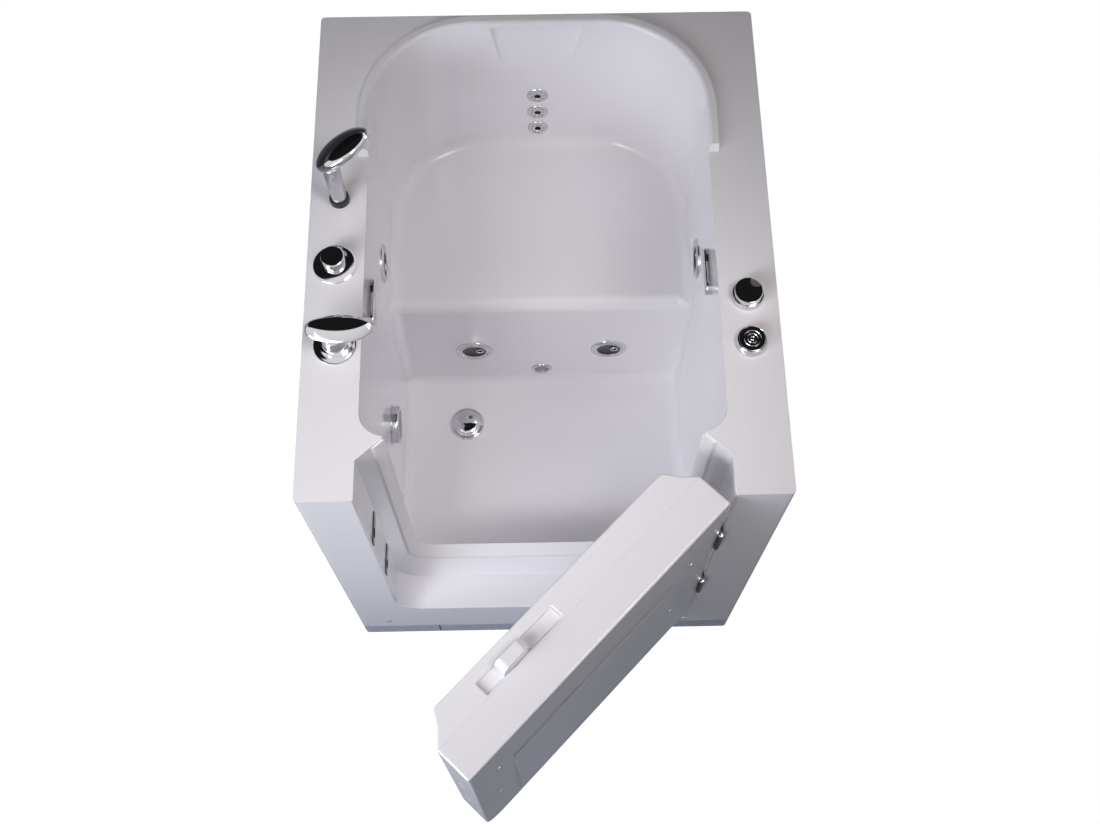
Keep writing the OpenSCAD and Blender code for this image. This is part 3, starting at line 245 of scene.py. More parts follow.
def modified(piece, kind, **settings):
    """Adds a modifier with its settings and applies it."""
    only(piece)
    change = piece.modifiers.new("change", kind)
    for setting, value in settings.items():
        setattr(change, setting, value)
    bpy.ops.object.modifier_apply(modifier=change.name)
    return piece


def combine(piece, tool, operation="DIFFERENCE"):
    """Cuts the piece with a tool, or joins the tool to it. The tool is then thrown away."""
    modified(piece, "BOOLEAN", object=tool, operation=operation, solver="EXACT")
    bpy.data.objects.remove(tool)
    return piece


def smooth(piece, degrees=35.0):
    """Shades smooth below an angle, and lets the large faces set the normals."""
    only(piece)
    bpy.ops.object.shade_smooth_by_angle(angle=math.radians(degrees))
    return modified(piece, "WEIGHTED_NORMAL", keep_sharp=True)


print("shaping helpers ready")

# %% Primitives
DRILL_REACH, DRILL_SIDES = 0.020, 48


def block(name, low, high):
    """A box from one corner to the other."""
    nothing_selected()
    centre = [(a + b) / 2 for a, b in zip(low, high)]
    bpy.ops.mesh.primitive_cube_add(size=1.0, location=centre)
    piece = named(name)
    piece.scale = [b - a for a, b in zip(low, high)]
    return settled(piece)


def post(name, low, high, radius, steps=4):
    """A box whose upright edges are rounded."""
    return rounded(block(name, low, high), lambda e: runs(e, 2), radius, steps)


def drill(seat, radius, reach=DRILL_REACH):
    """A cylinder that reaches equally far into and out of its seat."""
    nothing_selected()
    bpy.ops.mesh.primitive_cylinder_add(vertices=DRILL_SIDES, radius=radius, depth=2 * reach)
    return stood(named("drill"), *seat)


print("primitives ready")

# %% [markdown]
# ## White acrylic
# The tub is vacuum-formed acrylic, a glossy white sheet. Its shader has a very faint waviness left by
# the mould and the slightest change of white. The noise is measured in the piece's own metres, so the
# grain of every finish keeps its size on a large piece and on a small one.

# %% Material helpers
def fill(tree, target, inputs):
    """Sets the inputs of a node: a socket is linked, and anything else is a value."""
    for name, value in inputs.items():
        if isinstance(value, bpy.types.NodeSocket):
            tree.links.new(value, target.inputs[name])
        else:
            target.inputs[name].default_value = value


def add_node(tree, kind, inputs, output, **choices):
    """Adds a node with its choices and inputs, and gives one of its outputs."""
    made = tree.nodes.new("ShaderNode" + kind)
    for choice, value in choices.items():
        setattr(made, choice, value)
    fill(tree, made, inputs)
    return made.outputs[output]


def new_material(name, colour, roughness, metallic=0.0):
    material = bpy.data.materials.new(name)
    material.use_nodes = True
    tree = material.node_tree
    shader = tree.nodes["Principled BSDF"]
    fill(tree, shader, {"Base Color": (*colour, 1.0), "Roughness": roughness, "Metallic": metallic})
    return material, tree, shader


def noise_at(tree, scale, detail, stretch=(1.0, 1.0, 1.0)):
    coords = add_node(tree, "TexCoord", {}, "Object")
    place = add_node(tree, "Mapping", {"Vector": coords, "Scale": stretch}, "Vector")
    return add_node(tree, "TexNoise", {"Vector": place, "Scale": scale, "Detail": detail}, "Fac")


def spread(tree, source, low, high, start=0.0, end=1.0):
    """Maps the range from start to end, mostly 0 to 1, onto another range."""
    band = {"Value": source, "From Min": start, "From Max": end, "To Min": low, "To Max": high}
    return add_node(tree, "MapRange", band, "Result")


def tint(tree, shader, source, dark, light):
    mix = {"A": (*dark, 1.0), "B": (*light, 1.0), "Factor": source}
    fill(tree, shader, {"Base Color": add_node(tree, "Mix", mix, "Result", data_type="RGBA")})


def waviness(tree, shader, source, depth, strength=1.0):
    bump = {"Distance": depth, "Strength": strength, "Height": source}
    fill(tree, shader, {"Normal": add_node(tree, "Bump", bump, "Normal")})


def coated(piece, material):
    """One material all over the piece."""
    piece.data.materials.clear()
    piece.data.materials.append(material)
    return piece


def paint(piece, material, wanted):
    """A second material on the faces that are wanted."""
    piece.data.materials.append(material)
    for face in piece.data.polygons:
        if wanted(face):
            face.material_index = len(piece.data.materials) - 1
    return piece


def dress(piece, slot, *replaced):
    """Rides a finished piece on the body of the CAD nodes that it stands for."""
    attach(piece, nodes[replaced[0]]["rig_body"])
    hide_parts(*replaced)
    print("made", piece.name, len(piece.data.polygons), "faces")
    return piece


print("material helpers ready")

# %% Acrylic
ACRYLIC, ACRYLIC_DARK, ACRYLIC_LIGHT = (0.89, 0.876, 0.905), (0.880, 0.864, 0.895), (0.900, 0.886, 0.915)
ACRYLIC_ROUGHNESS, ACRYLIC_SPECULAR = 0.12, 0.42
SHEET_SPOTS, SHEET_WAVES, SHEET_DETAIL = 3.0, 22.0, 2.0
WAVE_DEPTH, WAVE_STRENGTH = 0.0006, 0.25


def make_acrylic():
    material, tree, shader = new_material("white_acrylic", ACRYLIC, ACRYLIC_ROUGHNESS)
    fill(tree, shader, {"Specular IOR Level": ACRYLIC_SPECULAR})
    tint(tree, shader, noise_at(tree, SHEET_SPOTS, SHEET_DETAIL), ACRYLIC_DARK, ACRYLIC_LIGHT)
    waviness(tree, shader, noise_at(tree, SHEET_WAVES, SHEET_DETAIL), WAVE_DEPTH, WAVE_STRENGTH)
    return material


acrylic = make_acrylic()
print("made", acrylic.name)

# %% [markdown]
# ## The tub moulding
# One sheet of acrylic makes the deck, the basin, the seat, the foot well, the door's jamb and the
# front. It is easiest to think of the spaces first: a solid block is cut by the basin space and by
# the doorway space, its edges are rounded, the faces that the mould doesn't make are thrown away,
# and the skin that is left gets its thickness.

# %% Sizes of the tub
TUB_X, TUB_FRONT, TUB_BACK = 0.4065, -0.4825, 0.4825
DECK_Z, APRON_Z, EDGE_Z = 0.935, 0.075, 0.895
FRONT_RETURN_Y = TUB_FRONT + 0.040
OUTER_CORNER = 0.008
BASIN_X, BASIN_FRONT, BASIN_BACK = 0.306, -0.370, 0.452
BASIN_FRONT_R, BASIN_BACK_R = 0.044, 0.190
SEAT_Z, RISER_Y, FLOOR_Z, SOFT_R = 0.560, 0.055, 0.200, 0.026
RIDGE_W, RIDGE_H, RIDGE_END_Y, RIDGE_SUNK = 0.019, 0.012, 0.167, 0.005
REBATE_X, REBATE_Y, SILL_Z, REBATE_R = 0.309, -0.412, 0.225, 0.062
LIP_X, LIP_Y, LIP_Z, LIP_R = 0.266, -0.374, 0.325, 0.035
REBATE_START, LIP_END = TUB_FRONT - 0.020, BASIN_FRONT + 0.030
SKIN = 0.003
ABOVE = 0.060
print("tub", 2 * TUB_X, "by", TUB_BACK - TUB_FRONT, "and the deck at", DECK_Z)


# %% Basin space
def make_basin_space():
    space = block("basin_space", (-BASIN_X, BASIN_FRONT, SEAT_Z), (BASIN_X, BASIN_BACK, DECK_Z + ABOVE))
    shaping(space)
    divided((0, RISER_Y, 0), (0, 1, 0))
    pick(space, "FACE", lambda f: f.normal.z < -0.9 and f.calc_center_median().y < RISER_Y)
    moved_on((0, 0, FLOOR_Z - SEAT_Z))
    simplified()
    round_edges(space, lambda e: all_at(e, 1, BASIN_BACK) and runs(e, 2), BASIN_BACK_R, 32)
    round_edges(space, lambda e: all_at(e, 1, BASIN_FRONT) and runs(e, 2), BASIN_FRONT_R, 12)

    def soft(edge):
        seat = all_at(edge, 2, SEAT_Z) and min(v.co.y for v in edge.verts) > RISER_Y - NEAR
        riser = all_at(edge, 1, RISER_Y) and all(near(abs(v.co.x), BASIN_X) for v in edge.verts)
        return sharp(edge) and (seat or riser or all_at(edge, 2, FLOOR_Z))

    print("soft edges of the basin:", round_edges(space, soft, SOFT_R, 6))
    shaped()
    return space


# %% Doorway space
def doorway_prism(name, x, low, radius, y0, y1):
    """A box with its two lower corners rounded, seen from the front."""
    prism = block(name, (-x, y0, low), (x, y1, DECK_Z + ABOVE))
    return rounded(prism, lambda e: all_at(e, 2, low) and runs(e, 1), radius, 12)


def drop_face(piece, y):
    """Opens one end of a prism."""
    shaping(piece)
    pick(piece, "FACE", lambda f: abs(f.normal.y) > 0.9 and near(f.calc_center_median().y, y))
    bpy.ops.mesh.delete(type="ONLY_FACE")
    shaped()


def make_doorway_space():
    """Two prisms of different width with a straight-sided ramp between their open ends."""
    outer = doorway_prism("rebate", REBATE_X, SILL_Z, REBATE_R, REBATE_START, REBATE_Y)
    inner = doorway_prism("lip", LIP_X, LIP_Z, LIP_R, LIP_Y, LIP_END)
    drop_face(outer, REBATE_Y)
    drop_face(inner, LIP_Y)
    space = joined("doorway_space", [outer, inner])
    shaping(space)
    pick(space, "EDGE", lambda e: len(e.link_faces) == 1 and any(all_at(e, 1, y) for y in (REBATE_Y, LIP_Y)))
    bpy.ops.mesh.bridge_edge_loops()
    facing_out()
    shaped()
    return space


# %% Hollow for the head
HOLLOW_TOP, HOLLOW_FOOT, HOLLOW_DRAFT, HOLLOW_R = 0.933, 0.812, 0.85, 0.006
HOLLOW_TOP_X, HOLLOW_FOOT_X, HOLLOW_DEEP, HOLLOW_SHALLOW = 0.092, 0.072, 0.011, 0.0003
HOLLOW_START = 0.004
HOLLOW_SLANT = 0.03


def make_head_hollow():
    """A tool that narrows into the wall and downwards, and runs out to almost nothing at its foot."""
    tool = block("head_hollow", (-HOLLOW_TOP_X, BASIN_BACK - HOLLOW_START, HOLLOW_FOOT),
                 (HOLLOW_TOP_X, BASIN_BACK + HOLLOW_DEEP, HOLLOW_TOP))
    foot = (0, 0, HOLLOW_FOOT)
    shaping(tool)
    pick(tool, "FACE", lambda f: f.normal.y > 0.7)
    bpy.ops.transform.resize(value=(HOLLOW_DRAFT, 1, 1), center_override=foot)
    pick(tool, "EDGE", lambda e: all_at(e, 2, HOLLOW_FOOT) and all_at(e, 1, BASIN_BACK + HOLLOW_DEEP))
    bpy.ops.transform.translate(value=(0, HOLLOW_SHALLOW - HOLLOW_DEEP, 0))
    pick(tool, "FACE", lambda f: f.normal.z < -0.7)
    bpy.ops.transform.resize(value=(HOLLOW_FOOT_X / HOLLOW_TOP_X, 1, 1), center_override=foot)

    def side(edge):
        slanting = near(edge.verts[0].co.x, edge.verts[1].co.x, HOLLOW_SLANT)
        return slanting and min(v.co.y for v in edge.verts) > BASIN_BACK and sharp(edge)

    round_edges(tool, side, HOLLOW_R, 4)
    shaped()
    return tool


# %% Block and cuts
def make_ridge():
    """The raised rim round the back of the basin, with a ramp at both ends."""
    ridge = block("ridge", (-BASIN_X - RIDGE_W, RIDGE_END_Y, DECK_Z - RIDGE_SUNK),
                  (BASIN_X + RIDGE_W, BASIN_BACK + RIDGE_W, DECK_Z + RIDGE_H))
    shaping(ridge)
    back, radius = BASIN_BACK + RIDGE_W, BASIN_BACK_R + RIDGE_W
    round_edges(ridge, lambda e: all_at(e, 1, back) and runs(e, 2), radius, 32)
    pick(ridge, "EDGE", lambda e: all_at(e, 1, RIDGE_END_Y) and all_at(e, 2, DECK_Z + RIDGE_H))
    bpy.ops.transform.translate(value=(0, RIDGE_H, 0))
    shaped()
    return ridge


def make_tub():
    tub = post("tub_moulding", (-TUB_X, TUB_FRONT, APRON_Z), (TUB_X, TUB_BACK, DECK_Z), OUTER_CORNER)
    shaping(tub)
    divided((0, 0, EDGE_Z), (0, 0, 1))
    divided((0, FRONT_RETURN_Y, 0), (0, 1, 0))
    shaped()
    combine(tub, make_ridge(), "UNION")
    for make_space in (make_basin_space, make_doorway_space, make_head_hollow):
        combine(tub, make_space())
    return tub


tub = make_tub()
print("tub block cut:", len(tub.data.polygons), "faces")

# %% [markdown]
# ### Rounding, trimming and the wall
# Acrylic can't hold a knife edge, so the rim of the basin, the edges of the doorway and the deck's
# outline are rounded before the block becomes a skin. The edges are found by where they lie.

# %% Rim, doorway and deck edges
RIM_R, JAMB_R, DECK_R, LIP_EDGE_R, RIDGE_R, RIDGE_ROLL_R = 0.006, 0.004, 0.006, 0.0018, 0.0025, 0.0090
NUDGE, ROLL_REACH, LIP_REACH, OUTLINE_REACH, WELD = 0.001, 0.0012, 0.0009, 0.0095, 0.00005


def on_outline(edge):
    m = middle(edge)
    front = near(m.y, TUB_FRONT, OUTLINE_REACH) and abs(m.x) > REBATE_X + 2 * NUDGE
    return front or near(abs(m.x), TUB_X, OUTLINE_REACH) or near(m.y, TUB_BACK, OUTLINE_REACH)


def past_basin(place):
    """How far a place lies outside the basin's outline, seen from above."""
    x = abs(place.x) - (BASIN_X - BASIN_BACK_R)
    y = place.y - (BASIN_BACK - BASIN_BACK_R)
    return (math.hypot(x, y) if x > 0 and y > 0 else max(x, y)) - BASIN_BACK_R


def jamb(edge):
    m = middle(edge)
    return all_at(edge, 1, TUB_FRONT) and abs(m.x) < REBATE_X + NUDGE and SILL_Z - NUDGE < m.z < DECK_Z


def lip(edge):
    m = middle(edge)
    inner = near(m.y, BASIN_FRONT, LIP_REACH) and abs(m.x) < LIP_X + NUDGE
    return (inner or all_at(edge, 1, LIP_Y)) and LIP_Z - NUDGE < m.z < DECK_Z - NUDGE


def rim(edge):
    return all_at(edge, 2, DECK_Z) and not on_outline(edge) and edge.is_convex


def crest(edge):
    return all_at(edge, 2, DECK_Z + RIDGE_H)


def roll(edge):
    return crest(edge) and abs(past_basin(middle(edge))) < ROLL_REACH


def outline(edge):
    return all_at(edge, 2, DECK_Z) and on_outline(edge)


shaping(tub)
pick_all()
bpy.ops.mesh.remove_doubles(threshold=WELD)
for kind, radius, steps in ((jamb, JAMB_R, 3), (lip, LIP_EDGE_R, 3), (rim, RIM_R, 4),
                            (roll, RIDGE_ROLL_R, 8), (crest, RIDGE_R, 4), (outline, DECK_R, 3)):
    count = round_edges(tub, lambda e: sharp(e) and kind(e), radius, steps)
    print("rounded", count, kind.__name__, "edges")
shaped()

# %% [markdown]
# ### Holes for the fittings
# Every fitting reaches behind the wall, so the moulding is drilled for it. The frame says where each
# one sits. All the drills are joined into one tool, because one cut is quicker than twenty.

# %% Where the fittings sit
def seat_of(node, axis, wall):
    """The middle of a CAD node, moved along one axis onto the wall that carries it."""
    low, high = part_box(node)
    place = (low + high) / 2
    place[axis] = wall
    return place


RISER_JETS = [(seat_of("riser_jet_face_" + side, 1, RISER_Y), FRONTWARD) for side in ("left", "right")]
SIDE_JETS = [(seat_of("side_jet_face_left", 0, -BASIN_X), RIGHTWARD),
             (seat_of("side_jet_face_right", 0, BASIN_X), LEFTWARD)]
SMALL_JET_R = 0.0215
SMALL_JET_LOW, SMALL_JET_HIGH = (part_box("back_jets")[i].z + (1 - 2 * i) * SMALL_JET_R for i in (0, 1))
BACK_JETS = [(Vector((0, BASIN_BACK, z)), FRONTWARD)
             for z in (SMALL_JET_LOW, (SMALL_JET_LOW + SMALL_JET_HIGH) / 2, SMALL_JET_HIGH)]
LAMP = (seat_of("lamp_lens", 1, RISER_Y), FRONTWARD)
SUCTION = (seat_of("suction_cover", 0, -BASIN_X), RIGHTWARD)
OVERFLOWS = [(Vector((-BASIN_X, -0.086, 0.860)), RIGHTWARD), (Vector((BASIN_X, -0.028, 0.850)), LEFTWARD)]
DRAIN = (seat_of("drain_plug", 2, FLOOR_Z), UP)
SPOUT, MIXER, SHOWER, AIR_CONTROL, BUTTON = [
    (seat_of(node, 2, DECK_Z), UP)
    for node in ("spout_base", "mixer_knob", "shower_socket", "air_control_knob", "push_button")]
BOLT_Y, BOLT_ZS = TUB_FRONT + 0.0275, (0.475, 0.676)
STRIKES = [(Vector((-REBATE_X, BOLT_Y, z)), RIGHTWARD) for z in BOLT_ZS]
print("seats found")

# %% Trim to the moulding, give it a wall and drill it
EDGE_BAND = 0.010
BORES = (
    (RISER_JETS + SIDE_JETS, 0.0278), (BACK_JETS, 0.0123), ([LAMP], 0.0173), ([SUCTION], 0.0303),
    ([DRAIN], 0.0223), ([SHOWER], 0.0148), ([MIXER], 0.0153), (OVERFLOWS, 0.0143),
    ([SPOUT, AIR_CONTROL, BUTTON], 0.0123), (STRIKES, 0.0100),
)


def unmade(face):
    """A face that the mould doesn't make: underneath, and below the edge at the sides and the back."""
    c = face.calc_center_median()
    outside = abs(c.x) > TUB_X - EDGE_BAND or c.y > TUB_BACK - EDGE_BAND
    return near(c.z, APRON_Z) or (outside and c.z < EDGE_Z and c.y > FRONT_RETURN_Y)


def trim_tub(tub):
    shaping(tub)
    print("faces thrown away:", pick(tub, "FACE", unmade))
    bpy.ops.mesh.delete(type="FACE")
    shaped()
    modified(tub, "SOLIDIFY", thickness=SKIN, offset=-1.0)
    drills = [drill(seat, radius) for seats, radius in BORES for seat in seats]
    print("holes drilled:", len(drills))
    combine(tub, joined("drills", drills))
    return smooth(tub, 30.0)


dress(coated(trim_tub(tub), acrylic), "shell_white", "tub_shell")

# %% [markdown]
# ## The door
# The door is two mouldings that meet in a fine crease. The outer one is a flat slab with a raised
# panel. The inner one steps in twice to the plug that presses on the seal, so it is drawn as three
# outlines that are bridged. Both are made for the shut door and then turned about the hinges to
# where the photograph shows the door standing open.

# %% Door sizes
HINGE_X, HINGE_Y, OPEN_DEG = 0.305, -0.494, 45.5
SLAB_X, SLAB_Z, SLAB_R = 0.300, 0.234, 0.053
SLAB_FRONT, SLAB_BACK = -0.492, -0.426
SHOULDER = (0.276, 0.290, 0.045, -0.402)
PLUG = (0.260, 0.333, 0.030, -0.376)
PANEL_X0, PANEL_X1, PANEL_Z0, PANEL_Z1 = -0.214, 0.191, 0.320, 0.740
PANEL_T, PANEL_BEVEL, PANEL_R = 0.004, 0.008, 0.0012
SLAB_FACE_R, SLAB_TOP_R, CREASE, BOLT_BORE = 0.005, 0.004, 0.0004, 0.0085


def swung(piece):
    """Turns a piece drawn for the shut door to the open door's place."""
    hinge = Matrix.Translation((HINGE_X, HINGE_Y, 0))
    turn = Matrix.Rotation(math.radians(OPEN_DEG), 4, "Z")
    piece.matrix_world = hinge @ turn @ hinge.inverted() @ piece.matrix_world
    return settled(piece)


print("door opens to", OPEN_DEG, "degrees")


# %% Outer door moulding
def within_panel(place, margin=0.0):
    return (PANEL_X0 - margin < place.x < PANEL_X1 + margin
            and PANEL_Z0 - margin < place.z < PANEL_Z1 + margin)


def make_door_outer():
    door = block("door_outer_moulding", (-SLAB_X, SLAB_FRONT, SLAB_Z), (SLAB_X, SLAB_BACK, DECK_Z))
    shaping(door)
    round_edges(door, lambda e: all_at(e, 2, SLAB_Z) and runs(e, 1), SLAB_R, 16)
    for x in (PANEL_X0, PANEL_X1):
        divided((x, 0, 0), (1, 0, 0))
    for z in (PANEL_Z0, PANEL_Z1):
        divided((0, 0, z), (0, 0, 1))
    pick(door, "FACE", lambda f: f.normal.y < -0.9 and within_panel(f.calc_center_median()))
    moved_on((0, -PANEL_T, 0))
    wide, high = PANEL_X1 - PANEL_X0, PANEL_Z1 - PANEL_Z0
    bpy.ops.transform.resize(
        value=(1 - 2 * PANEL_BEVEL / wide, 1, 1 - 2 * PANEL_BEVEL / high),
        center_override=((PANEL_X0 + PANEL_X1) / 2, SLAB_FRONT, (PANEL_Z0 + PANEL_Z1) / 2))
    simplified()

    def front(edge):
        return (sharp(edge) and all_at(edge, 1, SLAB_FRONT) and edge.is_convex
                and not within_panel(middle(edge), NEAR))

    round_edges(door, front, SLAB_FACE_R, 4)
    round_edges(door, lambda e: sharp(e) and all_at(e, 1, SLAB_FRONT - PANEL_T), PANEL_R, 2)
    round_edges(door, lambda e: sharp(e) and all_at(e, 2, DECK_Z) and not all_at(e, 1, SLAB_BACK),
                SLAB_TOP_R, 4)
    round_edges(door, lambda e: sharp(e) and all_at(e, 1, SLAB_BACK), CREASE, 2)
    shaped()
    for z in BOLT_ZS:
        combine(door, drill((Vector((-SLAB_X, BOLT_Y, z)), LEFTWARD), BOLT_BORE))
    return smooth(swung(door))


dress(coated(make_door_outer(), acrylic), "shell_white", "door_front_shell")

# %% Inner door moulding
HAIR = 0.00002
SHOULDER_EDGE_R, PLUG_EDGE_R = 0.004, 0.005


def door_outline(x, low, radius, y):
    """A flat face across the doorway with its two lower corners rounded."""
    nothing_selected()
    bpy.ops.mesh.primitive_plane_add(size=1.0, location=(0, y, (low + DECK_Z) / 2),
                                     rotation=(math.radians(90), 0, 0))
    piece = named("door_outline")
    piece.scale = (2 * x, DECK_Z - low, 1)
    shaping(settled(piece))
    pick(piece, "VERT", lambda v: near(v.co.z, low))
    bpy.ops.mesh.bevel(offset=radius, segments=12, profile=0.5, affect="VERTICES")
    shaped()
    return piece


def make_door_inner():
    places = [(SLAB_X, SLAB_Z, SLAB_R, SLAB_BACK + NEAR / 8), SHOULDER, PLUG]
    door = joined("door_inner_moulding", [door_outline(*place) for place in places])
    ys = [place[3] for place in places]
    shaping(door)
    for pair in (ys[:2], ys[1:]):
        pick(door, "EDGE", lambda e: any(all_at(e, 1, y, HAIR) for y in pair))
        bpy.ops.mesh.bridge_edge_loops()
    pick(door, "FACE", lambda f: abs(f.normal.y) > 0.99 and near(f.calc_center_median().y, ys[1], HAIR))
    bpy.ops.mesh.delete(type="ONLY_FACE")
    facing_out()
    simplified()

    def step(edge, y, degrees):
        return sharp(edge, degrees) and all_at(edge, 1, y) and middle(edge).z < DECK_Z - NEAR

    round_edges(door, lambda e: step(e, ys[1], 5.0), SHOULDER_EDGE_R, 3)
    round_edges(door, lambda e: step(e, ys[2], 25.0), PLUG_EDGE_R, 4)
    shaped()
    return door


# %% Slide track in the door's top
TRACK_X0, TRACK_X1, TRACK_Y0, TRACK_Y1, TRACK_Z, TRACK_R = -0.18875, -0.02125, -0.422, -0.397, 0.927, 0.003
SLOT_X0, SLOT_X1, SLOT_Y0, SLOT_Y1, SLOT_DEEP, SLOT_R = -0.185, -0.089, -0.4175, -0.4015, 0.020, 0.002
SLIDE_Y0, SLIDE_Y1 = SLOT_Y0 - 0.002, SLOT_Y1 + 0.002
POCKET_LOW, POCKET_HIGH, POCKET_LEFT, POCKET_RIGHT, POCKET_PLAY = 0.9268, 0.9284, -0.272, 0.006, 0.001
DOOR_TOP_R = 0.0025


def cut_track(door):
    """A sunk track, a slot in it for the handle's stem, and a pocket at each end for the sliding strip."""
    combine(door, post("track", (TRACK_X0, TRACK_Y0, TRACK_Z), (TRACK_X1, TRACK_Y1, DECK_Z + 0.01), TRACK_R))
    combine(door, post("slot", (SLOT_X0, SLOT_Y0, TRACK_Z - SLOT_DEEP), (SLOT_X1, SLOT_Y1, DECK_Z), SLOT_R))
    for x0, x1 in ((POCKET_LEFT, TRACK_X0 + POCKET_PLAY), (TRACK_X1 - POCKET_PLAY, POCKET_RIGHT)):
        combine(door, block("pocket", (x0, SLIDE_Y0 - POCKET_PLAY, POCKET_LOW),
                            (x1, SLIDE_Y1 + POCKET_PLAY, POCKET_HIGH)))

    def top(edge):
        return sharp(edge) and all_at(edge, 2, DECK_Z) and edge.is_convex and not all_at(edge, 1, SLAB_BACK)

    rounded(door, top, DOOR_TOP_R, 3)
    rounded(door, lambda e: sharp(e) and all_at(e, 1, SLAB_BACK), CREASE, 2)
    return smooth(swung(door))


dress(coated(cut_track(make_door_inner()), acrylic), "shell_white", "door_back_shell")

# %% [markdown]
# ## The handle on its slide
# The arch on the door's top throws the two bolts when it slides towards the jamb. It is a rounded
# block with a rounded block taken out of it. A thin white strip slides with it and covers the slot.

# %% Handle
HANDLE_X, HANDLE_Y, HANDLE_HALF, HANDLE_LOW, HANDLE_TOP = -0.121, -0.4095, 0.029, 0.9273, 0.958
HANDLE_W, HANDLE_T, HANDLE_FOOT_T, HANDLE_EDGE_R = 0.022, 0.006, 0.004, 0.0012
SHOULDER_R, GRIP_R = 0.014, 0.008
SLIDE_X0, SLIDE_X1, SLIDE_LOW, SLIDE_TOP = -0.240, -0.058, 0.9271, 0.9279


def arch_block(name, grow, foot, width, radius):
    """A block with two rounded upper edges, drawn in from the handle's outline on three sides."""
    arch = block(name, (HANDLE_X - HANDLE_HALF + grow, HANDLE_Y - width / 2, HANDLE_LOW + foot),
                 (HANDLE_X + HANDLE_HALF - grow, HANDLE_Y + width / 2, HANDLE_TOP - grow))
    return rounded(arch, lambda e: all_at(e, 2, HANDLE_TOP - grow) and runs(e, 1), radius, 12)


def make_handle():
    handle = arch_block("slide_handle", 0, 0, HANDLE_W, SHOULDER_R)
    combine(handle, arch_block("grip_space", HANDLE_T, HANDLE_FOOT_T, 2 * HANDLE_W, GRIP_R))
    flanks = (HANDLE_Y - HANDLE_W / 2, HANDLE_Y + HANDLE_W / 2)
    rounded(handle, lambda e: sharp(e) and any(all_at(e, 1, y) for y in flanks), HANDLE_EDGE_R, 3)
    strip = block("slide_strip", (SLIDE_X0, SLIDE_Y0, SLIDE_LOW), (SLIDE_X1, SLIDE_Y1, SLIDE_TOP))
    combine(handle, strip, "UNION")
    return smooth(swung(handle))


dress(coated(make_handle(), acrylic), "handle_white", "door_handle")

# %% [markdown]
# ## Metals, plastics and rubber
# Chrome is a mirror with a trace of haze where hands have been, so only its roughness changes from
# place to place. The other finishes have a grain, which moves their colour and roughness a little
# and lifts their surface by a few hundredths of a millimetre.

# %% Finishes
CHROME, CHROME_ROUGHNESS, HAZE, HAZE_GRAIN, HAZE_DETAIL = (0.68, 0.68, 0.70), 0.06, (0.03, 0.11), 45.0, 4.0
GRAIN_DETAIL, GRAIN_STRENGTH = 5.0, 0.6
LENS, LENS_ROUGHNESS, LENS_CELLS, LENS_DISORDER = (0.30, 0.30, 0.32), 0.22, 620.0, 0.15
LENS_CELL_MIDDLE, LENS_CELL_EDGE, LENS_DEPTH = (0.48, 0.48, 0.50), (0.07, 0.07, 0.08), 0.0002


def make_chrome():
    material, tree, shader = new_material("chrome", CHROME, CHROME_ROUGHNESS, 1.0)
    fill(tree, shader, {"Roughness": spread(tree, noise_at(tree, HAZE_GRAIN, HAZE_DETAIL), *HAZE)})
    return material


def grained(name, dark, light, roughness, grain, depth, metallic=0.0, stretch=(1.0, 1.0, 1.0)):
    """A finish whose colour, roughness and surface follow one noise of the given grain."""
    material, tree, shader = new_material(name, light, roughness[1], metallic)
    noise = noise_at(tree, grain, GRAIN_DETAIL, stretch)
    tint(tree, shader, noise, dark, light)
    fill(tree, shader, {"Roughness": spread(tree, noise, *roughness)})
    waviness(tree, shader, noise, depth, GRAIN_STRENGTH)
    return material


def make_lens():
    """Frosted cover of the lamp, with a fine square mesh behind it."""
    material, tree, shader = new_material("lamp_lens", LENS, LENS_ROUGHNESS)
    coords = add_node(tree, "TexCoord", {}, "Object")
    cells = {"Vector": coords, "Scale": LENS_CELLS, "Randomness": LENS_DISORDER}
    distance = add_node(tree, "TexVoronoi", cells, "Distance")
    tint(tree, shader, distance, LENS_CELL_MIDDLE, LENS_CELL_EDGE)
    waviness(tree, shader, distance, LENS_DEPTH)
    return material


chrome = make_chrome()
lens_grey = make_lens()
# Each row holds the darkest and the lightest colour, the roughness from and to, the grain per metre,
# the depth of the grain, and for a metal how metallic it is and how its grain is stretched.
satin = grained("satin_chrome", (0.50, 0.50, 0.53), (0.62, 0.62, 0.66), (0.22, 0.34), 60.0, 0.00002, 0.85,
                (1, 1, 0.1))
steel = grained("galvanised_steel", (0.36, 0.37, 0.39), (0.56, 0.57, 0.59), (0.30, 0.50), 34.0, 0.00004,
                0.9)
copper = grained("supply_copper", (0.34, 0.15, 0.08), (0.62, 0.32, 0.20), (0.22, 0.42), 40.0, 0.00003, 1.0)
# Real black of jet faces, nozzles, the mixer dot and the socket; painted shade in jet holes, overflow slots
# and the toe joint.
black_plastic_and_painted_shade = grained("black_plastic_and_painted_shade", (0.012, 0.012, 0.014), (0.030, 0.029, 0.032), (0.18, 0.34), 240.0, 0.00004)
# This gloss black is the shower head's real black cap, and painted shade on the strike plates.
black_gloss = grained("black_gloss", (0.006, 0.006, 0.007), (0.014, 0.013, 0.015), (0.05, 0.12), 90.0,
                      0.00001)
hinge_black = grained("hinge_black", (0.010, 0.010, 0.011), (0.026, 0.025, 0.027), (0.30, 0.46), 420.0,
                      0.00004)
hose_black = grained("hose_black", (0.014, 0.014, 0.015), (0.032, 0.032, 0.033), (0.40, 0.60), 90.0,
                     0.00010)
rubber = grained("foot_rubber", (0.018, 0.018, 0.018), (0.040, 0.039, 0.038), (0.60, 0.82), 300.0, 0.00010)
motor_grey = grained("motor_paint", (0.070, 0.078, 0.092), (0.105, 0.115, 0.135), (0.36, 0.52), 150.0,
                     0.00012)
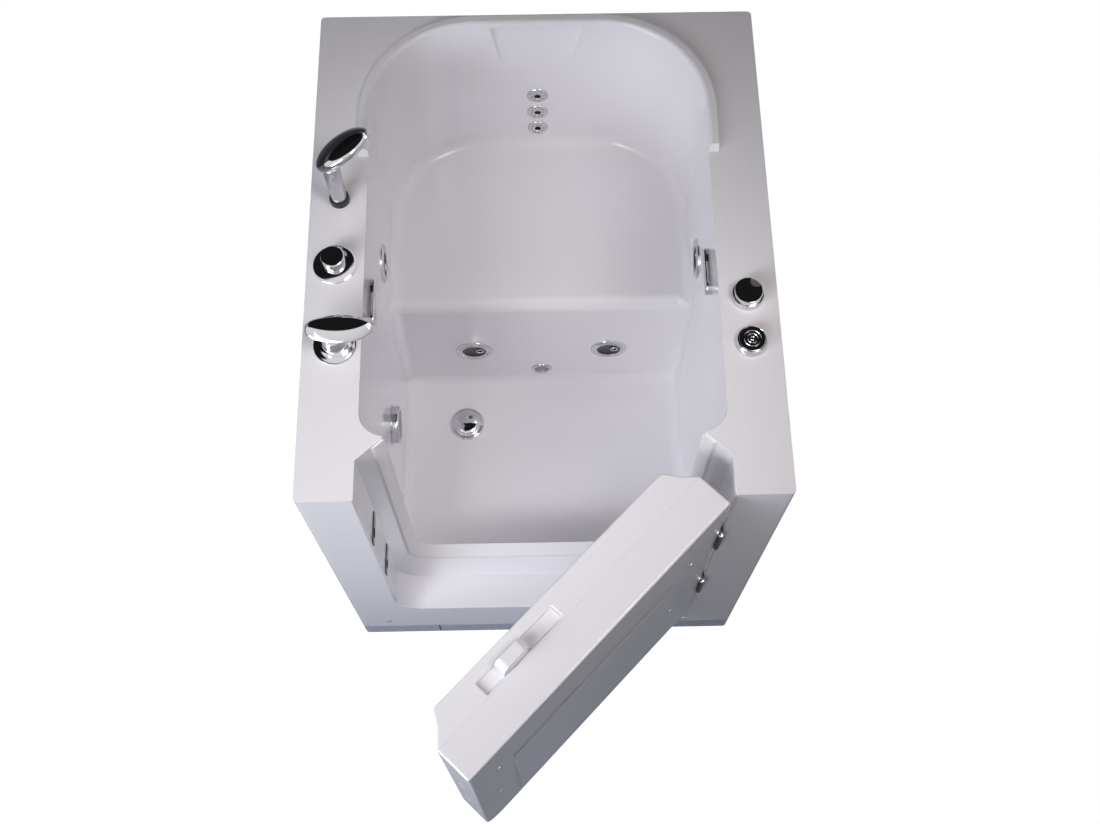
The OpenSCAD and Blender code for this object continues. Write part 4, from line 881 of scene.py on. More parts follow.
# The toe strips are white; this blue-grey is painted shade at the foot of the front.
toe_painted_shade = grained("toe_strip_painted_shade", (0.42, 0.49, 0.60), (0.48, 0.55, 0.66), (0.24, 0.34), 60.0, 0.00005)
seal_white = grained("seal_white", (0.90, 0.88, 0.88), (0.94, 0.92, 0.92), (0.42, 0.56), 180.0, 0.00005)
pipe_white = grained("pipe_white", (0.62, 0.62, 0.60), (0.72, 0.72, 0.70), (0.30, 0.44), 26.0, 0.00005)
print("finishes mixed:", len(bpy.data.materials), "materials in all")

# %% [markdown]
# ## Turned fittings
# Most fittings are turned metal: a ring, a dome or a knob. Each is drawn once about the Z axis from a
# circle that is extruded and resized ring by ring, so a groove or a bead is one more pair of numbers.
# The numbers are the radius and the height above the wall in millimetres, as on a lathe drawing.

# %% The lathe
MM = 0.001
RING_WELD = 0.000005


def turned(name, profile, hollow=False, steps=56):
    """Draws a round piece ring by ring. A hollow one ends on the ring that it began with."""
    nothing_selected()
    radius, height = (MM * size for size in profile[0])
    bpy.ops.mesh.primitive_circle_add(vertices=steps, radius=radius, location=(0, 0, height),
                                      fill_type="NOTHING" if hollow else "NGON")
    piece = settled(named(name))
    shaping(piece)
    pick_all("EDGE" if hollow else "FACE")
    for size in profile[1:]:
        next_radius, next_height = (MM * part for part in size)
        moved_on((0, 0, next_height - height))
        stretch = next_radius / radius
        bpy.ops.transform.resize(value=(stretch, stretch, 1), center_override=(0, 0, next_height))
        radius, height = next_radius, next_height
    pick_all()
    bpy.ops.mesh.remove_doubles(threshold=RING_WELD)
    facing_out()
    shaped()
    return piece


def dome(radius, low, high, count, last=86.0):
    """Rings of a quarter ellipse from just above its rim to just short of its top."""
    turns = [math.radians(last * i / count) for i in range(1, count + 1)]
    return [(radius * math.cos(t), low + (high - low) * math.sin(t)) for t in turns]


def copied(piece, seat):
    only(piece)
    bpy.ops.object.duplicate()
    return stood(bpy.context.active_object, *seat)


def at_seats(name, master, seats):
    """One piece of as many copies as there are seats."""
    copies = [copied(master, seat) for seat in seats]
    shape = master.data
    bpy.data.objects.remove(master)
    bpy.data.meshes.remove(shape)
    return joined(name, copies)


def fitted(name, shape, seats, slot, node, degrees=35.0):
    """Smooths a piece, copies it to its seats and lets it stand for a CAD node."""
    return dress(at_seats(name, smooth(shape, degrees), seats), slot, node)


def lathed(name, profile, seats, slot, node, material=None, degrees=35.0, **how):
    """A plain turned fitting, of chrome unless another material is given."""
    fitted(name, coated(turned(name, profile, **how), material or chrome), seats, slot, node, degrees)


print("lathe ready")

# %% [markdown]
# ### Jets and lamp
# A large jet has a chrome ring with a bead round a dark face. The face turns, and its nozzle sits off
# centre, so it is drilled and gets a small chrome lip. A small jet is a chrome button with a hole and
# a ring of slots. The lamp has the same kind of ring round a frosted lens.

# %% Large jets
JET_RING = [(8.1, -40), (27.5, -40), (27.5, -0.1), (39, 0), (39, 1.4), (38.3, 2.6), (36.2, 4.4),
            (34.6, 5), (32.4, 4.9), (31.3, 4.0), (29.5, 3.8), (28.4, 4.6), (27, 4.8), (25.9, 4.3),
            (25.1, 3.2), (25.1, -7), (8.1, -7), (8.1, -40)]
JET_FACE = [(8, -29), (8, -6.5), (24.7, -6.5), (24.7, 2.4), (24, 3.3), (22.6, 3.5), (21.2, 2.9),
            (20, 1.6), (14, 0.6), (4, 0.2)]
NOZZLE_LIP = [(5.2, -4.4), (8.6, -4.4), (8.6, 2.4), (8, 3.2), (7, 3.4), (5.8, 2.8), (5.2, 1.6),
              (5.2, -4.4)]
NOZZLE_OFF, NOZZLE_BORE, NOZZLE_DEEP, LIP_BRIGHT = 12.35 * MM, 8.3 * MM, 3.8 * MM, 2.0 * MM


def make_jet_face():
    face = turned("jet_face", JET_FACE)
    place = Vector((NOZZLE_OFF, 0, 0))
    combine(face, drill((place, UP), NOZZLE_BORE, NOZZLE_DEEP))
    lip_ring = coated(turned("nozzle_lip", NOZZLE_LIP, True, 32), black_plastic_and_painted_shade)
    paint(lip_ring, chrome, lambda f: f.center.z > LIP_BRIGHT)
    return smooth(joined("jet_face", [coated(face, black_plastic_and_painted_shade), stood(lip_ring, place)]))


jet_ring = smooth(coated(turned("jet_ring", JET_RING, True, 64), chrome))
riser_rings = joined("riser_jet_rings", [copied(jet_ring, seat) for seat in RISER_JETS])
dress(riser_rings, "chrome", "riser_jet_bodies")
dress(at_seats("side_jet_rings", jet_ring, SIDE_JETS), "chrome", "side_jet_bodies")
jet_face = make_jet_face()
for wall, seats in (("riser", RISER_JETS), ("side", SIDE_JETS)):
    for side, seat in zip(("left", "right"), seats):
        face = joined(f"{wall}_jet_dial_{side}", [copied(jet_face, seat)])
        dress(face, "jet_grey", f"{wall}_jet_face_{side}")
bpy.data.objects.remove(jet_face)

# %% Small jets
SMALL_JET = [(12, -20), (12, -0.1), (21.5, 0), (21.5, 1.5), (20.8, 2.7), (18.6, 4.3), (17, 4.9),
             (15.2, 4.6), (14.2, 3.8), (10.6, 3.7), (9.6, 4.6), (8.2, 4.9), (6.8, 4.3), (6, 3), (6, 0.2)]
SLOT_COUNT, SLOT_SUNK, SLOT_INNER, SLOT_OUTER = 8, 1.8 * MM, 10.8 * MM, 14.0 * MM
HOLE_EDGE, HOLE_TOP = 6.2 * MM, 2.9 * MM


def slot_face(face):
    """Every other stretch of the groove round the middle."""
    c = face.calc_center_median()
    turn = math.degrees(math.atan2(c.y, c.x)) % (360 / SLOT_COUNT)
    return face.normal.z > 0.9 and SLOT_INNER < c.xy.length < SLOT_OUTER and turn < 180 / SLOT_COUNT


def make_small_jet():
    jet = turned("small_jet", SMALL_JET, steps=64)
    shaping(jet)
    pick(jet, "FACE", slot_face)
    moved_on((0, 0, -SLOT_SUNK))
    shaped()
    # The hole's wall and floor are painted black: painted shade inside the hole.
    return paint(coated(jet, chrome), black_plastic_and_painted_shade,
                 lambda f: f.center.xy.length < HOLE_EDGE and 0 < f.center.z < HOLE_TOP)


fitted("back_jet_buttons", make_small_jet(), BACK_JETS, "chrome", "back_jets")

# %% Lamp
LAMP_RING = [(17, -28), (17, -0.1), (23, 0), (23, 1.4), (22.3, 2.8), (20.4, 4.6), (18.8, 5), (17.2, 4.6),
             (15.9, 3.6), (15.1, 2.4), (15.1, -3)]
LAMP_GLASS = [(14.7, -3), (14.7, 1.9)] + dome(14.7, 1.9, 4.9, 7)
lathed("lamp_ring", LAMP_RING, [LAMP], "chrome", "lamp_bezel")
lathed("lamp_glass", LAMP_GLASS, [LAMP], "lens_grey", "lamp_lens", lens_grey)

# %% [markdown]
# ### Suction, drain and overflows
# The pump draws through a cup with a grid of square holes, low on the left wall. The drain's cap is a
# wide dome that lifts on a stem. Each overflow cover is a rounded chrome block with a slot along it.

# %% Suction
SUCTION_BODY = [(16, -13), (30, -13), (30, -0.1), (42, 0), (42, 1.6), (41, 2.7), (39.6, 3), (26, 3),
                (26, -10), (16, -10), (16, -13)]
SUCTION_CUP = [(2, 14), (33.6, 14), (35, 12.8), (35, 3.05), (38, 3.05), (38, 13.2), (37.3, 15.2),
               (35.8, 16.5), (33.6, 17), (2, 17)]
GRID_HALF_HOLE, GRID_PITCH, GRID_REACH, GRID_LOW, GRID_TOP = 3 * MM, 9 * MM, 30 * MM, 11 * MM, 20 * MM


def make_suction_cup():
    places = [(i * GRID_PITCH, j * GRID_PITCH) for i in range(-3, 4) for j in range(-3, 4)]
    half = GRID_HALF_HOLE
    holes = [block("hole", (x - half, y - half, GRID_LOW), (x + half, y + half, GRID_TOP))
             for x, y in places if math.hypot(x, y) < GRID_REACH]
    print("grid holes:", len(holes))
    return combine(turned("suction_cup", SUCTION_CUP), joined("holes", holes))


lathed("suction_ring", SUCTION_BODY, [SUCTION], "chrome", "suction_body", hollow=True)
fitted("suction_grid", coated(make_suction_cup(), chrome), [SUCTION], "suction_grey", "suction_cover")

# %% Drain
DRAIN_RING = [(19, -40), (22, -40), (22, -0.1), (38.5, 0), (38.5, 1.2), (37.8, 2.8), (36.2, 3.9), (34, 4),
              (32.6, 3.6), (26, 3.2), (20.4, 2.2), (19, 0.6), (19, -40)]
DRAIN_HUB = [(5.1, -26), (9, -26), (9, -14), (5.1, -14), (5.1, -26)]
DRAIN_CAP = [(5, -33.7), (5, 4.3), (30.6, 4.3), (31.5, 4.9), (31.5, 6.4), (30.8, 7.3), (29.4, 7.9),
             (28.6, 7.9), (28.0, 8.3)] + dome(27.4, 8.6, 14.3, 8)
BAR_X0, BAR_X1, BAR_HALF, BAR_LOW, BAR_TOP = 6 * MM, 20 * MM, 2 * MM, -26 * MM, -14 * MM
bars = [block("drain_bar", (x0, -BAR_HALF, BAR_LOW), (x1, BAR_HALF, BAR_TOP))
        for x0, x1 in ((-BAR_X1, -BAR_X0), (BAR_X0, BAR_X1))]
rings = [turned("drain_ring", DRAIN_RING, True, 64), turned("hub", DRAIN_HUB, True, 32)]
fitted("drain_ring", coated(joined("drain_ring", rings + bars), chrome), [DRAIN], "chrome", "drain_flange")
lathed("drain_cap", DRAIN_CAP, [DRAIN], "chrome", "drain_plug", degrees=50.0, steps=72)

# %% Overflows
COVER_HALF_W, COVER_HALF_L, COVER_H, COVER_EDGE_R, COVER_END_R = 0.014, 0.0465, 0.011, 0.0028, 0.0138
COVER_SLOT_LOW, COVER_SLOT_TOP, COVER_SLOT_HALF, COVER_SKIN = 0.003, 0.008, 0.0285, 0.0005
SPIGOT = [(11, -14), (14, -14), (14, 0.5), (11, 0.5), (11, -14)]


def in_cover_slot(face):
    c = face.center
    return (abs(c.x) < COVER_HALF_W - COVER_SKIN and abs(c.y) < COVER_SLOT_HALF + NEAR
            and COVER_SLOT_LOW - NEAR < c.z < COVER_SLOT_TOP + NEAR)


def make_overflow_cover():
    cover = post("overflow_cover", (-COVER_HALF_W, -COVER_HALF_L, 0), (COVER_HALF_W, COVER_HALF_L, COVER_H),
                 COVER_END_R, 10)
    rounded(cover, lambda e: sharp(e) and all_at(e, 2, COVER_H), COVER_EDGE_R, 4)
    combine(cover, block("slot", (-2 * COVER_HALF_W, -COVER_SLOT_HALF, COVER_SLOT_LOW),
                         (2 * COVER_HALF_W, COVER_SLOT_HALF, COVER_SLOT_TOP)))
    cover = joined("cover", [cover, turned("spigot", SPIGOT, True, 32)])
    # The slot's faces are painted black: painted shade inside the slot.
    return paint(coated(cover, chrome), black_plastic_and_painted_shade, in_cover_slot)


fitted("overflow_plates", make_overflow_cover(), OVERFLOWS, "chrome", "overflow_covers")

# %% [markdown]
# ## Deck fittings
# On the left stand a leaf-shaped spout, the mixer's knob and the hand shower in its socket. On the
# right are the air control and the push button. The leaf starts as a circle whose rim is moved onto a
# rounder left end and a pointed right end, and is then built up in rings like the turned pieces.

# %% Spout
SPOUT_BASE = [(12, -36), (12, -0.1), (37, 0), (37, 1.4), (36.2, 2.8), (33.4, 3.6), (31.8, 4.9),
              (28.4, 5.6), (27, 6.9), (24.8, 7.5), (23.4, 8.9), (21, 9.2), (19.3, 10.6), (18.5, 13),
              (18.5, 54.9)]
LEAF_SEAT = (seat_of("spout_leaf", 2, DECK_Z + 0.055), UP)
LEAF_HALF_L, LEAF_HALF_W, LEAF_ROUND, LEAF_POINT, LEAF_CREST = 0.0575, 0.0265, 0.42, 0.66, 0.008
# Each ring holds its share of the length, its share of the width and its height in millimetres.
LEAF_RINGS = [(0.94, 0.84, 0.0), (0.985, 0.95, 0.5), (1, 1, 1.6), (0.998, 0.97, 3.0), (0.985, 0.90, 4.5),
              (0.968, 0.82, 6.0), (0.945, 0.73, 7.5), (0.915, 0.63, 9.1), (0.878, 0.52, 10.8),
              (0.835, 0.42, 12.0), (0.770, 0.30, 12.8), (0.690, 0.18, 13.2), (0.600, 0.06, 13.3)]
MOUTH_LOW, MOUTH_HIGH = (0.034, -0.007, -0.002), (0.046, 0.007, 0.003)


def leaf_place(place):
    """Where a point of a circle of radius 1 lies on the leaf's outline."""
    along = max(-1.0, min(1.0, place.x))
    power = LEAF_ROUND + (LEAF_POINT - LEAF_ROUND) * (along + 1) / 2
    across = math.copysign(max(0.0, 1 - along * along) ** power, place.y)
    return (along * LEAF_HALF_L, across * LEAF_HALF_W, 0)


def make_leaf():
    nothing_selected()
    bpy.ops.mesh.primitive_circle_add(vertices=96, radius=1.0, fill_type="NGON")
    leaf = named("leaf")
    for vert in leaf.data.vertices:
        vert.co = leaf_place(vert.co)
    shaping(leaf)
    pick_all("FACE")
    wide, deep, height = LEAF_RINGS[0]
    bpy.ops.transform.resize(value=(wide, deep, 1), center_override=(0, 0, 0))
    for next_wide, next_deep, next_height in LEAF_RINGS[1:]:
        moved_on((0, 0, MM * (next_height - height)))
        bpy.ops.transform.resize(value=(next_wide / wide, next_deep / deep, 1),
                                 center_override=(0, LEAF_CREST, 0))
        wide, deep, height = next_wide, next_deep, next_height
    facing_out()
    shaped()
    return coated(combine(leaf, block("mouth", MOUTH_LOW, MOUTH_HIGH)), chrome)


lathed("spout_stem", SPOUT_BASE, [SPOUT], "chrome", "spout_base", degrees=40.0)
fitted("spout_petal", make_leaf(), [LEAF_SEAT], "chrome", "spout_leaf", 60.0)

# %% Mixer
MIXER_BASE = [(8.1, -36), (15, -36), (15, -0.1), (38, 0), (38, 1.2), (37.4, 2.1), (34, 3.8), (29, 5.9),
              (24.4, 7.5), (21.6, 8), (8.1, 8), (8.1, -36)]
MIXER_KNOB = [(8, -10), (8, 8.3), (19.9, 8.3), (20.5, 9.2), (20.5, 30.2), (20, 31.4), (19, 32),
              (17.9, 31.8), (2, 31.7)]
KNOB_R, INDEX_R, INDEX_UP, INDEX_DEEP = 20.5 * MM, 2.1 * MM, 25.5 * MM, 1.2 * MM
INDEX_BACK, INDEX_SKIN = -18 * MM, 20.2 * MM


def in_index(face):
    c = face.center
    return (abs(c.x) < INDEX_R and c.y < INDEX_BACK and abs(c.z - INDEX_UP) < INDEX_R
            and c.xy.length < INDEX_SKIN)


def make_mixer_knob():
    """The knob has one small dark dot that marks its setting."""
    knob = turned("knob", MIXER_KNOB)
    combine(knob, drill((Vector((0, -KNOB_R, INDEX_UP)), FRONTWARD), INDEX_R, INDEX_DEEP))
    return paint(coated(knob, chrome), black_plastic_and_painted_shade, in_index)


lathed("mixer_dome", MIXER_BASE, [MIXER], "chrome", "mixer_base", hollow=True)
fitted("mixer_dial", make_mixer_knob(), [MIXER], "chrome", "mixer_knob")

# %% Hand shower
SOCKET = [(12.6, -36), (14.5, -36), (14.5, -0.1), (18, 0), (18, 2.2), (17.5, 3.2), (17.2, 10.6),
          (16.4, 11.8), (15.2, 12), (13.6, 11.6), (12.6, 10.6), (12.6, -36)]
SHOWER_GRIP = [(10, -24), (12.5, -22), (12.5, 12.3), (13.3, 12.4), (13.7, 13.2), (13.7, 15.2),
               (13.2, 15.7), (13.2, 16.6), (13.8, 17.1), (14.1, 34), (14.7, 64), (15.3, 94), (15.0, 101),
               (13.2, 106), (9, 109), (2, 110)]
SHOWER_HEAD = [(40, -10.4), (42, -10.6), (43, -12), (47.4, -12), (51, -10.8), (53.2, -7.6),
               (54, -4)] + dome(54, -4, 18, 14)
HEAD_MIDDLE = SHOWER[0] + Vector((0.017, 0.034, 0.110))
HEAD_TILT, HEAD_TURN = math.radians(44), math.radians(140)
SPRAY_RINGS, SPRAY_NOZZLE = ((6, 10), (12, 20), (18, 30)), [(1.4, -10.3), (0.9, -12.4)]
CAP_FACING = Vector((-0.584, 0.599, 0.548)).normalized()
CAP_EDGE = HEAD_MIDDLE - 0.002 * CAP_FACING


def around(radius, turn, height=0.0):
    return Vector((radius * math.cos(turn), radius * math.sin(turn), height))


def make_shower_head():
    """A dome with three rings of nozzles below. Its upper left part is a black cap."""
    head = coated(turned("shower_head", SHOWER_HEAD, steps=80), chrome)
    nozzle = coated(turned("spray_nozzle", SPRAY_NOZZLE, steps=8), black_plastic_and_painted_shade)
    seats = [(around(radius * MM, 2 * math.pi * i / count), UP) for count, radius in SPRAY_RINGS
             for i in range(count)]
    head = joined("shower_head", [head, at_seats("spray_nozzles", nozzle, seats)])
    stood(head, HEAD_MIDDLE, around(math.sin(HEAD_TILT), HEAD_TURN, math.cos(HEAD_TILT)))
    shaping(head)
    divided(CAP_EDGE, CAP_FACING)
    shaped()
    return paint(head, black_gloss, lambda f: (f.center - CAP_EDGE).dot(CAP_FACING) > 0)


lathed("shower_cup", SOCKET, [SHOWER], "black_gloss", "shower_socket", black_plastic_and_painted_shade, hollow=True)
lathed("shower_grip", SHOWER_GRIP, [SHOWER], "chrome", "hand_shower", satin)
dress(smooth(make_shower_head(), 50.0), "chrome", "hand_shower")

# %% Air control
AIR_BASE = [(6.1, -36), (12, -36), (12, -0.1), (28.5, 0), (28.4, 2), (27.8, 3.2), (27.4, 8.8), (26.6, 10),
            (6.1, 10), (6.1, -36)]
AIR_KNOB = [(6, -18), (6, 10.3), (24.0, 10.3), (24.5, 11), (24.5, 20.2), (23.8, 21.5), (22.4, 22),
            (20.8, 21.7), (2, 21.5)]
NOTCH_PLACE, NOTCH_R, NOTCH_DEEP = around(21.5 * MM, math.radians(50), 22 * MM), 10.5 * MM, 3.6 * MM


def make_air_knob():
    """The knob has a bright thumb notch in its rim."""
    knob = combine(turned("air_knob", AIR_KNOB), drill((NOTCH_PLACE, UP), NOTCH_R, NOTCH_DEEP))
    return paint(coated(knob, chrome), satin,
                 lambda f: f.normal.z > 0.9 and near(f.center.z, NOTCH_PLACE.z - NOTCH_DEEP))


lathed("air_control_ring", AIR_BASE, [AIR_CONTROL], "chrome", "air_control_base", hollow=True)
fitted("air_control_dial", make_air_knob(), [AIR_CONTROL], "black_gloss", "air_control_knob")

# %% Push button
BEZEL = [(6.1, -36), (12, -36), (12, -0.1), (28.5, 0), (28.4, 2), (27.9, 3.2), (27.2, 6), (25.2, 10.8),
         (24.6, 11.7), (24, 12), (23.2, 12), (22.9, 11.8), (22.8, 11), (22.8, 4), (6.1, 4), (6.1, -36)]
PUSH_BUTTON = [(6, -14), (6, 9), (22.5, 9), (22.5, 13.4), (22.2, 13.9), (21.6, 14.1), (15.4, 14.3),
               (14.8, 13.7), (14.0, 13.7), (13.4, 14.3), (9.6, 14.4), (9.0, 13.8), (8.2, 13.8),
               (7.6, 14.4), (3.8, 14.5), (3.2, 14.0), (2.6, 14.6), (0.8, 14.8)]
lathed("button_ring", BEZEL, [BUTTON], "chrome", "button_bezel", hollow=True)
lathed("button_cap", PUSH_BUTTON, [BUTTON], "black_gloss", "push_button")

# %% [markdown]
# ## Hardware of the doorway
# The bolts enter two strike plates in the left jamb, painted black all over as the shade of their bolt holes.
# A strip in two lengths closes the foot of the front, painted blue-grey as shade, with painted shade in the
# joint between them. The door turns on two pins with domed heads, and pan-head screws with a cross
# recess hold the door's outer moulding and the front of the tub.

# %% Strike plates
STRIKE_FRONT, STRIKE_BACK, STRIKE_HALF, STRIKE_T, STRIKE_BORE = -0.0216, 0.0384, 0.013, 0.002, 0.009
STRIKE_R, STRIKE_EDGE_R, STRIKE_SCREW_IN = 0.005, 0.0005, 0.006
COUNTERSUNK = [(3.4, 1.9), (3.4, 2.3), (2.6, 2.7), (1, 2.8)]


def make_strike():
    """Drawn on the wall's face: X is down the jamb and Y is towards the back."""
    plate = post("strike", (-STRIKE_HALF, STRIKE_FRONT, 0), (STRIKE_HALF, STRIKE_BACK, STRIKE_T), STRIKE_R, 5)
    rounded(plate, lambda e: sharp(e) and all_at(e, 2, STRIKE_T), STRIKE_EDGE_R, 2)
    combine(plate, drill((Vector((0, 0, 0)), UP), STRIKE_BORE))
    screw = coated(turned("strike_screw", COUNTERSUNK, steps=20), chrome)
    spots = [(Vector((0, y, 0)), UP) for y in (STRIKE_FRONT + STRIKE_SCREW_IN, STRIKE_BACK - STRIKE_SCREW_IN)]
    # The plate is painted black all over as the shade of its bolt hole; only its screws are chrome.
    return joined("strike", [coated(plate, black_gloss), at_seats("strike_screws", screw, spots)])


fitted("strike_faces", make_strike(), STRIKES, "black_gloss", "strike_plates")

# %% Toe strips
TOE_LOW, TOE_T, TOE_SEAM, TOE_GAP, TOE_EDGE = 0.015, 0.006, -0.236, 0.0003, 0.0014


def make_toe_strip(name, end, seam):
    """One length of the strip, wrapped round the tub's corner at one end and rounded at the seam."""
    side = 1 if end > 0 else -1
    strip = block(name, (min(end, seam), TUB_FRONT, TOE_LOW), (max(end, seam), FRONT_RETURN_Y, APRON_Z))
    rounded(strip, lambda e: all_at(e, 0, end) and all_at(e, 1, TUB_FRONT), OUTER_CORNER, 4)
    near_end, past_seam = end - side * TOE_T, seam - side * ABOVE
    combine(strip, block("toe_inside", (min(near_end, past_seam), TUB_FRONT + TOE_T, TOE_LOW - ABOVE),
                         (max(near_end, past_seam), FRONT_RETURN_Y + ABOVE, APRON_Z + ABOVE)))
    rounded(strip, lambda e: sharp(e) and e.is_convex, TOE_EDGE, 3)
    # The strip is coated in painted blue-grey shade, and its faces at the seam are painted black as the shade
    # of the joint.
    return paint(smooth(coated(strip, toe_painted_shade)), black_plastic_and_painted_shade, lambda f: near(f.center.x, seam, TOE_EDGE))


dress(make_toe_strip("toe_strip_short", -TUB_X, TOE_SEAM - TOE_GAP), "shell_white", "toe_strip_left")
dress(make_toe_strip("toe_strip_long", TUB_X, TOE_SEAM), "shell_white", "toe_strip_right")

# %% Screws
PAN_HEAD, PAN_TOP = [(5.4, 0), (6, 0.3), (5.8, 1), (4.9, 1.6), (3.2, 2), (1, 2)], 2 * MM
DOOR_SHANK = [(1.4, -9), (2, -7.5), (2, 0.3)]
CROSS_ARM, CROSS_HALF, CROSS_DEEP, CROSS_PAST = 2.7 * MM, 0.55 * MM, 0.9 * MM, 1 * MM
DOOR_SCREWS = ((-0.243, 0.775), (0.227, 0.759), (-0.251, 0.509), (0.208, 0.489))
APRON_SCREWS = ((-0.343, 0.120), (0.304, 0.100))


def make_screw():
    head = turned("screw", PAN_HEAD, steps=28)
    for x, y in ((CROSS_ARM, CROSS_HALF), (CROSS_HALF, CROSS_ARM)):
        combine(head, block("cross", (-x, -y, PAN_TOP - CROSS_DEEP), (x, y, PAN_TOP + CROSS_PAST)))
    return coated(head, chrome)


def screws(name, spots, y, parts):
    """Screws in the front at these places across and up, each made of these parts."""
    seats = [(Vector((x, y, z)), FRONTWARD) for x, z in spots]
    return smooth(at_seats(name, joined("screw", parts), seats))


dress(screws("apron_screw_heads", APRON_SCREWS, TUB_FRONT, [make_screw()]), "chrome", "apron_screws")
long_screw = [make_screw(), coated(turned("shank", DOOR_SHANK, steps=16), chrome)]
dress(swung(screws("door_screw_heads", DOOR_SCREWS, SLAB_FRONT, long_screw)), "chrome", "door_screws")

# %% Hinge pins
PIN = [(3.2, -40), (4.5, -39.6), (5, -38.6), (5, -36), (2.6, -36), (2.6, 36), (5, 36), (5, 40),
       (4.5, 41.3), (3.2, 42), (0.8, 42)]
HINGES = [(Vector((HINGE_X, HINGE_Y, z)), UP) for z in (0.415, 0.715)]
lathed("hinge_pin_heads", PIN, HINGES, "chrome", "hinge_pins", steps=32)

# %% [markdown]
# ## Feet, pump and the frame's finishes
# The rest is seen from below, from behind and when the panels are off. The feet are rubber pads on
# threaded studs. The pump's motor has cooling fins, which are every other face of its barrel raised.
# The frame, the pipes and the hinge leaves are already right in shape, so they only get a finish.

# %% Levelling feet
FOOT_PAD = [(24.4, 0), (25, 0.6), (25, 3.6), (24.2, 5), (14.5, 9.6), (10.6, 12), (9.6, 12.3), (2, 12.3)]
FOOT_R, THREAD_LOW, THREAD_TOP, THREAD_PITCH, THREAD_CREST, THREAD_ROOT = 25 * MM, 12.2, 60.0, 1.6, 6.0, 5.3
THREAD_TURNS = int((THREAD_TOP - THREAD_LOW) / THREAD_PITCH)
STUD = [(THREAD_CREST if i % 2 else THREAD_ROOT, THREAD_LOW + i * THREAD_PITCH / 2)
        for i in range(2 * THREAD_TURNS)]
foot_x, foot_y = (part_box("levelling_feet")[1][axis] - FOOT_R for axis in (0, 1))
FEET = [(Vector((x, y, 0)), UP) for x, y in (
    (foot_x, foot_y), (-foot_x, foot_y), (foot_x, -foot_y), (-foot_x, -foot_y), (0, 0))]
pad = coated(turned("pad", FOOT_PAD, steps=40), rubber)
stud = coated(turned("stud", STUD, steps=20), steel)
fitted("feet_on_studs", joined("foot", [pad, stud]), FEET, "foot_rubber", "levelling_feet")

# %% Pump motor
MOTOR_PROFILE = [(48, 0), (56, 1), (62, 5), (62, 22), (58, 23), (58, 150), (62, 151), (62, 158),
                 (60, 159), (60, 182), (57, 187), (50, 190), (34, 190), (33, 188.4), (24, 188.4),
                 (23, 190), (6, 190)]
MOTOR_START, MOTOR_STEPS = Vector((-0.010, 0.262, 0.170)), 72
FIN_RISE, FIN_INSET, FINS_FROM, FINS_TO = 0.006, 0.0004, 0.05, 0.12
FOOT_XS, FOOT_WIDE, FOOT_HALF_DEEP, FOOT_LOW, FOOT_TOP = (0.030, 0.120), 0.020, 0.045, 0.079, 0.130
TERMINAL_LOW, TERMINAL_HIGH, CAST_R = (0.052, 0.232, 0.226), (0.122, 0.292, 0.262), 0.0025


def fin(face):
    """Every other stretch of the barrel between its two rims."""
    c = face.calc_center_median()
    stretch = int(math.degrees(math.atan2(c.y, c.x)) % 360 / (360 / MOTOR_STEPS))
    return abs(face.normal.z) < 0.1 and FINS_FROM < c.z < FINS_TO and stretch % 2 == 0


def make_motor():
    motor = turned("pump_motor_case", MOTOR_PROFILE, steps=MOTOR_STEPS)
    shaping(motor)
    pick(motor, "FACE", fin)
    bpy.ops.mesh.inset(use_individual=True, thickness=FIN_INSET, depth=FIN_RISE)
    shaped()
    stood(motor, MOTOR_START, RIGHTWARD)
    front, back = MOTOR_START.y - FOOT_HALF_DEEP, MOTOR_START.y + FOOT_HALF_DEEP
    parts = [block("terminal_box", TERMINAL_LOW, TERMINAL_HIGH)]
    parts += [block("motor_foot", (x, front, FOOT_LOW), (x + FOOT_WIDE, back, FOOT_TOP)) for x in FOOT_XS]
    for part in parts:
        rounded(part, sharp, CAST_R, 2)
    return smooth(coated(joined("pump_motor_case", [motor] + parts), motor_grey))


dress(make_motor(), "motor_grey", "pump_motor")

# %% Finishes of the CAD pieces that stay
KEPT = {
    acrylic: ("left_side_panel", "right_side_panel"),
    steel: ("base_side_rails", "base_cross_rails", "frame_posts", "deck_rails", "seat_rails", "floor_rails",
            "foot_locknuts", "pump_plate", "door_frame", "latch_bar"),
    chrome: ("latch_bolts",),
    seal_white: ("door_seal",),
    hinge_black: ("jamb_hinge_leaves", "door_hinge_leaves"),
    pipe_white: ("overflow_pipes", "waste_pipe", "pump_housing", "suction_pipe", "jet_manifold"),
    black_plastic_and_painted_shade: ("jet_locknuts",),
    copper: ("supply_pipes",),
    hose_black: ("air_hose",),
}
for material, names in KEPT.items():
    for name in names:
        for place in nodes[name].material_slots:
            place.material = material
print("finished", sum(len(names) for names in KEPT.values()), "CAD pieces")

# %% [markdown]
# ## The floor and the light
# The photograph's background is white, so the camera sees a white sky and a floor that glows and keeps
# the tub's shadow. Mirrors see a weaker glow on the floor, and a sky that is bright to a steep line and
# dark above it, as under a dark ceiling, so flat chrome tops turn black. All else is lit by a dim sky
# that is brighter on the left, a large soft lamp and a cool window at the front left, two narrow beams
# onto the doorway and into the basin, and a lamp behind the right side for the far panels.

# %% Rays that see the background
MIRROR_RAYS = ("Is Glossy Ray", "Is Transmission Ray")


def calculated(tree, operation, first, second):
    return add_node(tree, "Math", {0: first, 1: second}, "Value", operation=operation)


def ray_is(tree, *kinds):
    """1 for a ray of one of these kinds, and 0 for any other."""
    either = add_node(tree, "LightPath", {}, kinds[0])
    for kind in kinds[1:]:
        either = calculated(tree, "MAXIMUM", either, add_node(tree, "LightPath", {}, kind))
    return either


